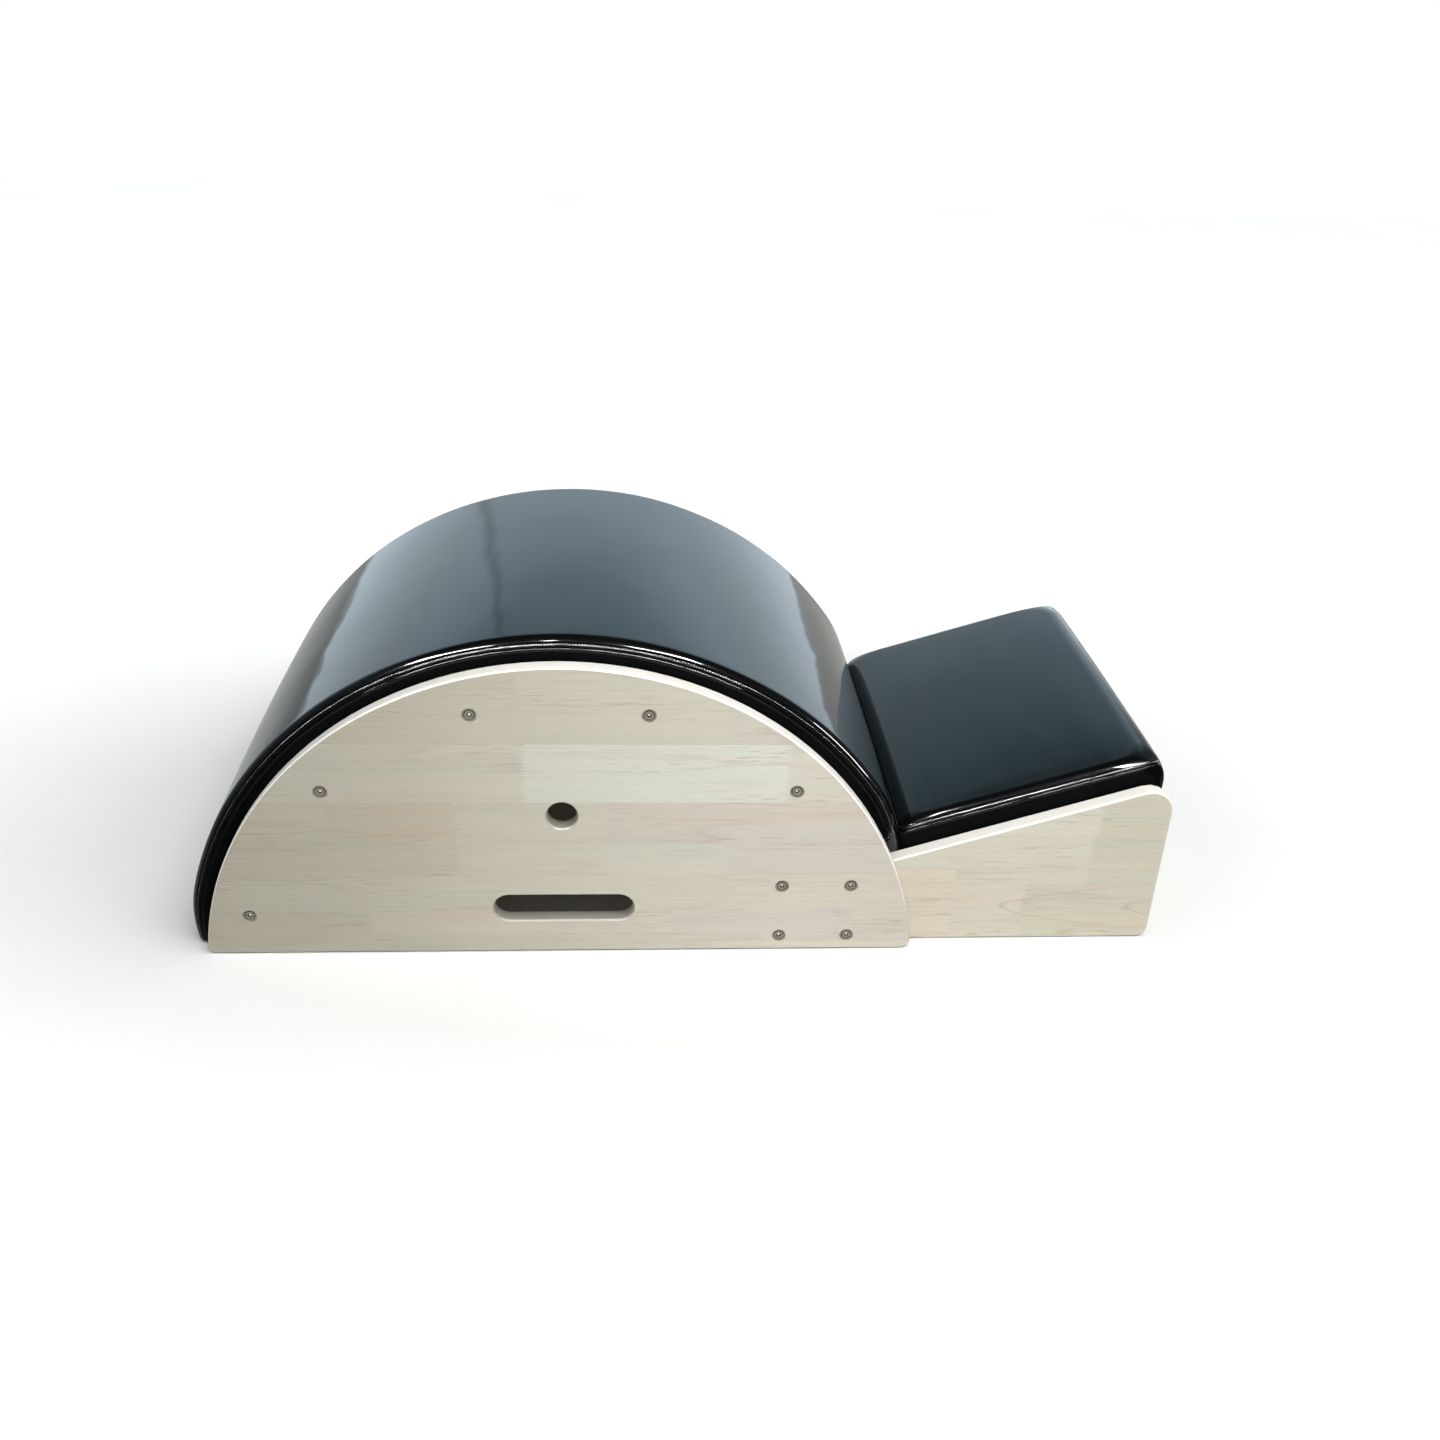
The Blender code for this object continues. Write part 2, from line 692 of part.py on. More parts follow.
def make_end_board(finish):
    outer = STEP_REACH - END_BOARD_SETBACK
    inner = outer - BOARD
    outline = [
        (inner, END_BOARD_LIFT),
        (outer, END_BOARD_LIFT),
        (outer, seat_underside(outer) - FIT),
        (inner, seat_underside(inner) - FIT),
    ]
    half = STEP_INSIDE - FIT
    made = prism("step_end_board", outline, -half, half, finish)
    ease_edges(made, BOARD_EDGE)
    return made


def make_cleats(finish):
    """Battens on the step's side boards, right under the seat board."""
    start = STEP_PAD_START + LINING
    end = STEP_REACH - END_BOARD_SETBACK - BOARD - FIT
    outline = []
    for x, lower in ((start, 0.0), (end, 0.0), (end, CLEAT), (start, CLEAT)):
        outline.append((x, seat_underside(x) - FIT - upright(lower)))
    cleats = {}
    for side, name in SIDE_NAMES.items():
        wall = side * (STEP_INSIDE - FIT)
        low, high = sorted((wall, wall - side * CLEAT))
        cleats[side] = prism("step_cleat_" + name, outline, low, high, finish)
    return cleats, start, end


def make_seat_screws(cleats, start, end, seat_board, finish):
    """Screws up through the glued cleats into the seat board, so that the padded board comes off."""
    up = (-math.sin(SLOPE), 0, math.cos(SLOPE))
    middle = STEP_INSIDE - FIT - CLEAT / 2
    for side, name in SIDE_NAMES.items():
        places = []
        for k in range(SEAT_SCREWS):
            x = start + (end - start) * (k + 0.5) / SEAT_SCREWS
            z = seat_underside(x) - FIT - upright(CLEAT)
            places.append(facing((x, side * middle, z), up))
        length = CLEAT + FIT + SEAT_SCREW_BITE
        screws("seat_screw_" + name, length, places, finish, [cleats[side], seat_board])


def make_dowels(end_board, step_sides, finish):
    """A dowel at each side that joins the end board to the side board, hidden in both."""
    x = STEP_REACH - END_BOARD_SETBACK - BOARD / 2
    z = (END_BOARD_LIFT + seat_underside(x)) / 2
    dowel = [(DOWEL_RADIUS, -DOWEL_IN_END), (DOWEL_RADIUS, DOWEL_IN_SIDE)]
    hole = [(DOWEL_RADIUS + FIT, -DOWEL_IN_END - FIT), (DOWEL_RADIUS + FIT, DOWEL_IN_SIDE + FIT)]
    places = [facing((x, side * STEP_INSIDE, z), (0, side, 0)) for side in SIDE_NAMES]
    turned_pieces("end_board_dowel", dowel, FASTENER_SIDES, places, finish)
    holes = turned_cutter("dowel_holes", hole, FASTENER_SIDES, places)
    for piece in [end_board, *step_sides.values()]:
        cut(piece, holes)


def main():
    for old in list(bpy.data.objects):
        bpy.data.objects.remove(old)
    rubberwood = material("rubberwood", (0.63, 0.58, 0.47), 0.5)
    plywood = material("plywood", (0.55, 0.42, 0.27), 0.7)
    softwood = material("softwood", (0.60, 0.45, 0.26), 0.7)
    foam = material("foam", (0.80, 0.74, 0.55), 0.95)
    leather = material("leather", (0.012, 0.014, 0.016), 0.18)
    steel = material("steel", (0.58, 0.56, 0.52), 0.3, 1.0)

    barrel_sides = make_barrel_sides(rubberwood)
    rails = make_rails(softwood)
    make_rail_fasteners(barrel_sides, rails, steel)
    make_deck(plywood)
    barrel_half = BARREL_INSIDE - FIT
    make_upholstery(
        "barrel", barrel_stations, on_barrel, barrel_half, BARREL_PAD, DECK_THICKNESS, foam, leather
    )

    step_sides = make_step_sides(rubberwood)
    make_step_fasteners(barrel_sides, step_sides, steel)
    seat_board = make_seat_board(plywood)
    end_board = make_end_board(rubberwood)
    cleats, start, end = make_cleats(softwood)
    make_seat_screws(cleats, start, end, seat_board, steel)
    make_dowels(end_board, step_sides, softwood)
    step_half = STEP_INSIDE - FIT
    make_upholstery(
        "step", step_stations, on_step, step_half, upright(STEP_PAD), upright(SEAT_BOARD), foam, leather
    )


main()
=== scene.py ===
"""Looks of the spine corrector: upholstery, seams, stitches, bolts and finishes, in soft studio light.

X runs along the length, with the barrel at -X and the step at +X. Y runs across and Z is up.
The floor is z = 0 and every size is in metres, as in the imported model.
"""

import math
from collections import namedtuple

import bmesh
import bpy
import numpy as np
from mathutils import Matrix, Vector, noise


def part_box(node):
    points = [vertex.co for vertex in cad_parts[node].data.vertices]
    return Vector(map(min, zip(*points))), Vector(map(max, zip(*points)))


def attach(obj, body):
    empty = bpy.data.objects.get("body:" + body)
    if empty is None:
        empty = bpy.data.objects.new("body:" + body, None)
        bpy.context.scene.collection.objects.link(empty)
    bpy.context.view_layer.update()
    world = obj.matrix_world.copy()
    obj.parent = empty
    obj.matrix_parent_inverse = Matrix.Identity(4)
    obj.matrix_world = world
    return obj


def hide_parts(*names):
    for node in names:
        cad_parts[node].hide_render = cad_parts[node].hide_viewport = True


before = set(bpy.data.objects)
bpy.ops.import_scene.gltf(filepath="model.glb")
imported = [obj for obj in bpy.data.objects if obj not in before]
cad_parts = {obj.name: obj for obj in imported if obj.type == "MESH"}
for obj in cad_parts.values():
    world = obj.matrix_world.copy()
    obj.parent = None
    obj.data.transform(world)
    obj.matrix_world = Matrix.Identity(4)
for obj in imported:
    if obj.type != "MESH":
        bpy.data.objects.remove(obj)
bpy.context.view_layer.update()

# Sizes of the boards and the deck that the upholstery follows
FIT = 0.0003
ARC_X = -0.135735
HALF = 0.260
BOARD = 0.018
BARREL_RADIUS = 0.410
ARC_DROP = 0.042
DECK_OUTER = 0.396
DECK_THICKNESS = 0.009
DECK_INNER = DECK_OUTER - DECK_THICKNESS
FOOT_GAP = 0.0006
STEP_LOW = 0.1125
STEP_HIGH = 0.2155
STEP_REACH = 0.700
SEAT_RECESS = 0.0155
SEAT_BOARD = 0.015
JOIN_X = math.sqrt(BARREL_RADIUS**2 - (STEP_LOW + ARC_DROP) ** 2)
SLOPE = math.atan2(STEP_HIGH - STEP_LOW, STEP_REACH - JOIN_X)
FOOT_ANGLE = math.pi - math.asin((FOOT_GAP + ARC_DROP) / DECK_INNER)
SEAT_ANGLE = math.asin((STEP_LOW + 2 * FIT + ARC_DROP) / DECK_INNER)

# Pads: their sizes, the thin cover, and the room that it keeps to swell
BARREL_PAD = 0.040
BARREL_PAD_HALF = HALF - BOARD - FIT
STEP_PAD = 0.050
STEP_PAD_HALF = BARREL_PAD_HALF - BOARD - FIT
STEP_PAD_START = 0.389874
STEP_PAD_END = STEP_REACH - 0.0045
STEP_PAD_LEAN = 0.0070
STEP_PAD_LEAN_REACH = 0.060
STEP_PAD_LEAN_HEIGHT = 0.045
COVER = 0.0012
LINING_LIFT = 0.0004
CROWN = 0.002
PAD_EDGE = 0.011
PAD_MOST_EDGE = 0.8
PAD_DRAW = 0.0012
PAD_SLACK = 0.0010
PAD_SWELL = 0.0022
PAD_SHARP = 60

# The end of a pad: length and depth of its rounding, plan corners of its wall and of its top, how deep
# the seam lies, and the length over which the top sinks and the side edges grow softer towards the end
PadEnd = namedtuple("PadEnd", "run drop corner top_corner seam taper sink growth")
BARREL_PAD_FOOT = PadEnd(
    run=0.008, drop=0.010, corner=0.004, top_corner=0.0015, seam=0.0105, taper=0.070, sink=0.009, growth=0.003
)
BARREL_PAD_SEAT = PadEnd(
    run=0.015, drop=0.014, corner=0.034, top_corner=0.021, seam=0.0105, taper=0.080, sink=0.013, growth=0.014
)
STEP_PAD_REAR = PadEnd(
    run=0.021, drop=0.019, corner=0.012, top_corner=0.014, seam=0.013, taper=0.050, sink=0.003, growth=0.008
)
STEP_PAD_NOSE = PadEnd(
    run=0.034, drop=0.046, corner=0.018, top_corner=0.026, seam=0.022, taper=0.090, sink=0.006, growth=0.020
)

# The seam between a pad's side band and its top: heights are out of the cover, places are up from the seam
Fold = namedtuple("Fold", "place height half")
SEAM_BELOW_TOP = 0.0105
SEAM_FOLDS = (
    Fold(0.0, -0.0015, 0.0009),
    Fold(-0.0024, 0.0005, 0.0014),
    Fold(0.0023, 0.0004, 0.0012),
    Fold(0.0043, -0.0004, 0.0008),
    Fold(0.0066, 0.0003, 0.0018),
)
STITCH_ROW = 0.0043
STITCH_PITCH = 0.0031
STITCH_LENGTH = 0.0023
THREAD_RADIUS = 0.00046
THREAD_LIFT = 0.7
THREAD_DIVE = 0.9

# Heights over the board from which the seam is sewn, and from which the cover is free to be uneven
SEAM_FROM = 0.018
UNEVEN_FROM = 0.017
UNEVEN_FADE = 0.010

# Unevenness of foam and cover under tension: waves a metre along X, Y and Z, their start, and their height
WAVES = (
    ((4.0, 3.0, 4.0), (0.0, 0.0, 0.0), 0.00040),
    ((14.0, 9.0, 14.0), (3.1, 0.0, 0.0), 0.00027),
    ((38.0, 22.0, 38.0), (0.0, 7.7, 0.0), 0.00004),
)

# Connector bolts: an M6 shank under a low head in a counterbore, with a hexagon socket
BOLT_SEAT = 0.0032
HEAD_RADIUS = 0.0072
HEAD_THICKNESS = 0.0024
HEAD_DOME = 0.0009
HEAD_DOME_POWER = 1.6
HEAD_EASE = 0.0004
HEAD_RIM = 0.0003
HEAD_DIP = 0.0001
SOCKET_RADIUS = 0.0029
SOCKET_DEPTH = 0.0013
SOCKET_LAND = 0.0008
SOCKET_CHAMFER = 0.0004
SOCKET_TAPER = 0.98
DRILL_RADIUS = 0.0008
DRILL_POINT = 0.0005
SHANK_RADIUS = 0.003
SHANK_CHAMFER = (0.0006, 0.0008)
TURNED_SHARP = 38
TURN_BETWEEN_BOLTS = 1.3


# Camera: its place, the degrees that it looks down, is turned to the right and is rolled, and its lens
CAMERA_PLACE = (-0.06358, -1.52772, 0.99806)
CAMERA_ANGLES = (28.51, 4.44, 2.30)
LENS_MM = 33.84
SENSOR_MM = 36.0


def in_scene(name, data):
    """A new object in the scene."""
    made = bpy.data.objects.new(name, data)
    bpy.context.scene.collection.objects.link(made)
    return made


def look_through_camera():
    """The photograph's viewpoint: in front of the long side, above it and a little to the right."""
    pitch, yaw, roll = (math.radians(degrees) for degrees in CAMERA_ANGLES)
    ahead = Vector((math.sin(yaw) * math.cos(pitch), math.cos(yaw) * math.cos(pitch), -math.sin(pitch)))
    level = Vector((math.cos(yaw), -math.sin(yaw), 0.0))
    upward = level.cross(ahead)
    right = level * math.cos(roll) + upward * math.sin(roll)
    up = upward * math.cos(roll) - level * math.sin(roll)
    turn = Matrix((right, up, -ahead)).transposed().to_4x4()
    lens = bpy.data.cameras.new("camera")
    lens.lens = LENS_MM
    lens.sensor_width = SENSOR_MM
    camera = in_scene("camera", lens)
    camera.matrix_world = Matrix.Translation(CAMERA_PLACE) @ turn
    bpy.context.scene.camera = camera


# Pads: where their points lie

def on_barrel(along, y, height):
    """Points of the barrel's pad: along from the foot, height outwards from the deck."""
    angle = FOOT_ANGLE - along / DECK_OUTER
    radius = DECK_OUTER + height
    lean = (angle - SEAT_ANGLE) / (FOOT_ANGLE - SEAT_ANGLE)
    level = math.pi - np.arcsin((FOOT_GAP + ARC_DROP) / radius)
    turned = angle + lean * (level - FOOT_ANGLE)
    return np.stack([ARC_X + radius * np.cos(turned), y, radius * np.sin(turned) - ARC_DROP], axis=-1)


def on_step(along, y, height):
    """Points of the step's pad: along from its rear, height straight up from the seat board.

    The top of its rear end leans back against the barrel.
    """
    near_rear = np.clip(1 - along / STEP_PAD_LEAN_REACH, 0, 1) ** 2
    x = STEP_PAD_START + along - STEP_PAD_LEAN * near_rear * np.clip(height / STEP_PAD_LEAN_HEIGHT, 0, 1)
    top = STEP_LOW + (x - JOIN_X) * math.tan(SLOPE) - SEAT_RECESS / math.cos(SLOPE)
    return np.stack([ARC_X + x, y, top + height], axis=-1)


Pad = namedtuple("Pad", "name length half thickness skirt first last place nodes fill")
BARREL = Pad(
    name="barrel_pad",
    length=(FOOT_ANGLE - SEAT_ANGLE) * DECK_OUTER,
    half=BARREL_PAD_HALF,
    thickness=BARREL_PAD,
    skirt=DECK_THICKNESS,
    first=BARREL_PAD_FOOT,
    last=BARREL_PAD_SEAT,
    place=on_barrel,
    nodes=("barrel_cover", "barrel_foam"),
    fill=0.9,
)
STEP = Pad(
    name="step_pad",
    length=STEP_PAD_END - STEP_PAD_START,
    half=STEP_PAD_HALF,
    thickness=STEP_PAD / math.cos(SLOPE),
    skirt=SEAT_BOARD / math.cos(SLOPE),
    first=STEP_PAD_REAR,
    last=STEP_PAD_NOSE,
    place=on_step,
    nodes=("step_cover", "step_foam"),
    fill=0.85,
)

# How many points a pad has: along and across its plan, in half a corner, up its walls and above its seam.
# The rows at the seam are given by their places, closest in the groove.
Fineness = namedtuple("Fineness", "along across corner walls seam above")
FINE_SEAM = [
    -0.0052, -0.0042, -0.0034, -0.0028, -0.0023, -0.0018, -0.0014, -0.0010, -0.0007, -0.0003, 0.0, 0.0003,
    0.0007, 0.0010, 0.0014, 0.0018, 0.0023, 0.0028, 0.0034, 0.0039, 0.0043, 0.0047, 0.0052, 0.0059, 0.0068,
    0.0080,
]
PLAIN_SEAM = [-0.0052, 0.0, 0.0080]
COARSE_BARREL = Fineness(along=60, across=26, corner=1, walls=3, seam=PLAIN_SEAM, above=2)
FINE_BARREL = Fineness(along=240, across=104, corner=4, walls=6, seam=FINE_SEAM, above=3)
COARSE_STEP = Fineness(along=22, across=28, corner=2, walls=3, seam=PLAIN_SEAM, above=3)
FINE_STEP = Fineness(along=96, across=120, corner=10, walls=6, seam=FINE_SEAM, above=6)

# Points of a rounded edge's profile, and the least length that a corner or a level keeps
PROFILE_STEPS = 49
LEAST_LENGTH = 0.001


def near_end(pad, along, quality):
    """How much of each end's value there is at a point, fading out over the end's taper."""
    first = np.clip(1 - along / pad.first.taper, 0, None) ** 2 * getattr(pad.first, quality)
    last = np.clip(1 - (pad.length - along) / pad.last.taper, 0, None) ** 2 * getattr(pad.last, quality)
    return first + last


def side_edge(pad, along):
    """Radius of the rounding along a pad's sides."""
    edge = PAD_EDGE + near_end(pad, along, "growth")
    return np.minimum(edge, (pad.thickness - near_end(pad, along, "sink")) * PAD_MOST_EDGE)


def crest(pad, along, across):
    """Height of the pad's top, which is crowned across and sinks towards its ends."""
    flat = pad.half - side_edge(pad, along)
    return pad.thickness - PAD_SLACK - near_end(pad, along, "sink") + CROWN * (1 - (across / flat) ** 2)


def rounded_plan(low, high, half, low_corner, high_corner, fineness):
    """Plan of a pad as four runs of points that meet in the middle of its corners, going round."""
    corners = [(low, -half, low_corner), (high, -half, high_corner), (high, half, high_corner)]
    corners.append((low, half, low_corner))
    centres = [(u + (r if u == low else -r), v + (r if v < 0 else -r), r) for u, v, r in corners]
    runs = []
    for side in range(4):
        (u0, v0, r0), (u1, v1, r1) = centres[side], centres[(side + 1) % 4]
        facing = math.radians(-90 + 90 * side)
        turns = [math.radians(45) * (1 - k / fineness.corner) for k in range(fineness.corner + 1)]
        opening = [(u0 + r0 * math.cos(facing - a), v0 + r0 * math.sin(facing - a)) for a in turns]
        closing = [(u1 + r1 * math.cos(facing + a), v1 + r1 * math.sin(facing + a)) for a in reversed(turns)]
        straight = (fineness.along, fineness.across)[side % 2] - 2 * fineness.corner
        (ua, va), (ub, vb) = opening[-1], closing[0]
        middle = [(ua + (ub - ua) * k / straight, va + (vb - va) * k / straight) for k in range(1, straight)]
        runs.append(np.array(opening + middle + closing))
    return runs


def going_round(runs):
    """The points of four runs as one closed line."""
    return np.concatenate([run[:-1] for run in runs])


def outward(plan):
    """Unit directions that point out of a closed plan."""
    ahead = np.roll(plan, -1, axis=0) - np.roll(plan, 1, axis=0)
    ahead /= np.linalg.norm(ahead, axis=1)[:, None]
    return np.stack([ahead[:, 1], -ahead[:, 0]], axis=1)


def filled_plan(runs):
    """A grid of points that fills a plan, between its four runs."""
    front, last, back, first = runs[0], runs[1], runs[2][::-1], runs[3][::-1]
    t = np.linspace(0, 1, len(front))[:, None, None]
    s = np.linspace(0, 1, len(last))[None, :, None]
    across = (1 - s) * front[:, None] + s * back[:, None]
    along = (1 - t) * first[None, :] + t * last[None, :]
    ends = (1 - t) * ((1 - s) * front[0] + s * back[0]) + t * ((1 - s) * front[-1] + s * back[-1])
    return across + along - ends


def cells(ids):
    """The four-sided faces of a grid of vertex numbers."""
    return np.stack([ids[:-1, :-1], ids[1:, :-1], ids[1:, 1:], ids[:-1, 1:]], axis=-1).reshape(-1, 4)


def wall(low, high):
    """The four-sided faces between two closed lines of vertex numbers."""
    return np.stack([low, np.roll(low, -1), np.roll(high, -1), high], axis=-1)


class PadForm:
    """The points of a pad: a band of levels that goes round its side, and a grid that fills its top.

    The band's columns stand round the pad's outer plan, and end on the inner plan, where the top begins.
    """

    def __init__(self, pad, fineness):
        self.pad = pad
        self.fineness = fineness
        first, last = pad.first, pad.last
        outer_runs = rounded_plan(0.0, pad.length, pad.half, first.corner, last.corner, fineness)
        inner_half = pad.half - PAD_EDGE
        inner_runs = rounded_plan(
            first.run, pad.length - last.run, inner_half, first.top_corner, last.top_corner, fineness
        )
        for run in inner_runs:
            run[:, 1] *= (pad.half - side_edge(pad, run[:, 0])) / inner_half
        self.outer, self.inner = going_round(outer_runs), going_round(inner_runs)
        self.out = outward(self.outer)
        self.draw_profiles()
        self.stack_levels()
        grid = filled_plan(inner_runs)
        self.top = np.concatenate([grid, crest(pad, grid[..., 0], grid[..., 1])[..., None]], axis=2)
        self.number()

    def draw_profiles(self):
        """The profile of each column of the band, from its shoulder over the rounded edge to the top.

        A place on a profile is a length from the shoulder, which is below 0 on the wall.
        """
        pad, outer, inner = self.pad, self.outer, self.inner
        endwise = self.out[:, 0] ** 2
        at_first = outer[:, 0] < pad.length / 2

        def blended(quality, along_sides):
            at_ends = np.where(at_first, getattr(pad.first, quality), getattr(pad.last, quality))
            return at_ends * endwise + along_sides * (1 - endwise)

        rise = blended("drop", side_edge(pad, inner[:, 0]))
        depth = blended("seam", SEAM_BELOW_TOP)
        top = crest(pad, inner[:, 0], inner[:, 1])
        sunk = near_end(pad, inner[:, 0], "sink")
        self.shoulder = top - rise - (near_end(pad, outer[:, 0], "sink") - sunk)
        self.turns = np.linspace(0, math.pi / 2, PROFILE_STEPS)
        plans = inner[:, None] + (outer - inner)[:, None] * np.cos(self.turns)[None, :, None]
        self.heights = (top - rise)[:, None] + rise[:, None] * np.sin(self.turns)
        self.heights -= near_end(pad, plans[..., 0], "sink") - sunk[:, None]
        steps = np.sqrt((np.diff(plans, axis=1) ** 2).sum(axis=2) + np.diff(self.heights, axis=1) ** 2)
        self.lengths = np.concatenate([np.zeros((len(outer), 1)), np.cumsum(steps, axis=1)], axis=1)
        self.seam = np.array([
            np.interp(height, column, length) if height > column[0] else height - column[0]
            for height, column, length in zip(top - depth, self.heights, self.lengths)
        ])

    def stack_levels(self):
        """The levels of the band: the hem, the wall, close rows at the seam, and over the edge."""
        fine, seam, shoulder = self.fineness, self.seam, self.shoulder
        whole = self.lengths[:, -1]
        lowest = seam + fine.seam[0]
        highest = np.minimum(seam + fine.seam[-1], whole - LEAST_LENGTH)
        places = [-self.pad.skirt - shoulder]
        places += [-shoulder + (lowest + shoulder) * k / fine.walls for k in range(fine.walls)]
        places += [np.clip(seam + offset, lowest, highest) for offset in fine.seam]
        places += [highest + (whole - highest) * k / fine.above for k in range(1, fine.above + 1)]
        self.band = np.stack([self.level(place) for place in places], axis=1)
        self.offsets = np.stack([place - seam for place in places], axis=1)

    def level(self, place):
        """The points of one level, from its place on each profile."""
        over_edge = np.maximum(place, 0)
        turn, height = (
            np.array([np.interp(*row) for row in zip(over_edge, self.lengths, values)])
            for values in (np.broadcast_to(self.turns, self.lengths.shape), self.heights)
        )
        plan = self.inner + (self.outer - self.inner) * np.cos(turn)[:, None]
        height += np.minimum(place, 0)
        share = np.clip(height / np.maximum(self.shoulder, LEAST_LENGTH), 0, 1)
        draw = PAD_DRAW * np.sin(math.pi * share) * (height > 0) * (place < 0)
        return np.column_stack([plan - self.out * draw[:, None], height])

    def row_at(self, offset):
        """Vertex numbers of the level at one of the seam's offsets."""
        return self.band_ids[:, 1 + self.fineness.walls + self.fineness.seam.index(offset)]

    def number(self):
        """Vertex numbers: the band first, then the inside of the top, whose rim is the band's last level."""
        around, levels = self.offsets.shape
        self.band_ids = np.arange(around * levels).reshape(around, levels)
        rows, columns = self.top.shape[:2]
        along, across = rows - 1, columns - 1
        rim = np.append(self.band_ids[:, -1], self.band_ids[0, -1])
        ids = np.empty((rows, columns), int)
        inside = ids[1:-1, 1:-1]
        inside[:] = around * levels + np.arange(inside.size).reshape(inside.shape)
        ids[:, 0] = rim[: along + 1]
        ids[-1, :] = rim[along : along + across + 1]
        ids[::-1, -1] = rim[along + across : 2 * along + across + 1]
        ids[0, ::-1] = rim[2 * along + across :]
        self.top_ids = ids

    def points(self):
        inside = self.top[1:-1, 1:-1]
        parts = [self.pad.place(*np.moveaxis(part, -1, 0)).reshape(-1, 3) for part in (self.band, inside)]
        return np.concatenate(parts)

    def faces(self):
        """The faces of the band, column by column, and those of the top."""
        ids = self.band_ids
        after = np.roll(ids, -1, axis=0)
        band = np.stack([ids[:, :-1], after[:, :-1], after[:, 1:], ids[:, 1:]], axis=-1).reshape(-1, 4)
        return band, cells(self.top_ids)


def mesh_object(name, points, faces):
    mesh = bpy.data.meshes.new(name)
    mesh.from_pydata([tuple(p) for p in points.tolist()], [], faces)
    mesh.validate()
    return in_scene(name, mesh)


def vectors(items, field):
    """A field of a mesh's items, as rows of three numbers."""
    values = np.empty(len(items) * 3, np.float32)
    items.foreach_get(field, values)
    return values.reshape(-1, 3)


# Upholstery: the cover as a cloth, blown up over the foam and held along its lower rim and walls
SWELL_FRAMES = 20
COVER_CLOTH = {
    "quality": 6,
    "mass": 0.4,
    "tension_stiffness": 60,
    "compression_stiffness": 60,
    "bending_stiffness": 8,
    "vertex_group_mass": "held",
    "use_pressure": True,
    "uniform_pressure_force": 4.0,
}
SMOOTHING_ROUNDS = 3
SWELL_FULLNESS = 2.5
SWELL_FADE = 0.5


def dome(shape, power):
    """Shares on a grid that rise from 0 along its rim to 1 in the middle."""
    rows, columns = (np.sin(np.linspace(0, math.pi, count)) for count in shape)
    return np.outer(rows, columns) ** power


def blown_up(cloth, held):
    """How far each point of a cloth moves outwards when it is blown up."""
    cloth.vertex_groups.new(name="held").add(held, 1.0, "REPLACE")
    modifier = cloth.modifiers.new("cloth", "CLOTH")
    for name, value in COVER_CLOTH.items():
        setattr(modifier.settings, name, value)
    modifier.settings.effector_weights.gravity = 0.0
    modifier.point_cache.frame_start = 1
    modifier.point_cache.frame_end = SWELL_FRAMES
    scene = bpy.context.scene
    for number in range(1, SWELL_FRAMES + 1):
        scene.frame_set(number)
        bpy.context.view_layer.update()
    blown = cloth.evaluated_get(bpy.context.evaluated_depsgraph_get())
    moved = vectors(blown.data.vertices, "co") - vectors(cloth.data.vertices, "co")
    outwards = (moved * vectors(cloth.data.vertex_normals, "vector")).sum(axis=1)
    scene.frame_set(1)
    return outwards


def swell(pad, fineness):
    """How far the stretched cover stands out over its foam, on the grid of the top, from 0 to 1."""
    form = PadForm(pad, fineness)
    band, top = form.faces()
    cloth = mesh_object("cover_cloth", form.points(), band.tolist() + top.tolist())
    held = form.band_ids[:, : fineness.walls + 1].reshape(-1).tolist()
    share = blown_up(cloth, held)[form.top_ids]
    bpy.data.objects.remove(cloth)
    for _ in range(SMOOTHING_ROUNDS):
        wide = np.pad(share, 1, mode="edge")
        share = (wide[:-2, 1:-1] + wide[2:, 1:-1] + wide[1:-1, :-2] + wide[1:-1, 2:] + 2 * share) / 6
    share = np.clip(share, 0, None)
    return 1 - np.exp(-SWELL_FULLNESS * share / share.max())


def resampled(grid, shape):
    """A grid of values read at more rows and columns."""
    rows, columns = grid.shape
    along = np.linspace(0, rows - 1, shape[0])
    across = np.linspace(0, columns - 1, shape[1])
    longer = np.stack([np.interp(along, range(rows), column) for column in grid.T], axis=1)
    return np.stack([np.interp(across, range(columns), row) for row in longer], axis=0)


def seam_relief(offset):
    """Height of the cover near its seam: the groove, a roll on each side, and the dip of the stitches."""
    return sum(fold.height * np.exp(-(((offset - fold.place) / fold.half) ** 2)) for fold in SEAM_FOLDS)


def waviness(point):
    """How far the cover stands out or in at a point, in metres."""
    total = 0.0
    for rate, start, height in WAVES:
        total += height * noise.noise(Vector([p * r + s for p, r, s in zip(point, rate, start)]))
    return total


def eased(share):
    """A share from 0 to 1 that starts and ends gently."""
    share = np.clip(share, 0, 1)
    return share * share * (3 - 2 * share)


def raised(form, share, points):
    """How far the cover stands out from its form: the swell, its unevenness, and the folds of the seam."""
    height = form.band[..., 2]
    lift = np.zeros(len(points))
    lift[form.top_ids] = PAD_SLACK + share * (PAD_SWELL - PAD_SLACK)
    lift[form.band_ids] = PAD_SLACK * eased(form.offsets / form.offsets[:, -1:])
    free = np.ones(len(points))
    free[form.band_ids] = eased((height - UNEVEN_FROM) / UNEVEN_FADE)
    lift += free * np.array([waviness(p) for p in points.tolist()])
    lift[form.band_ids] += np.where(height > SEAM_FROM, seam_relief(form.offsets), 0.0)
    return lift


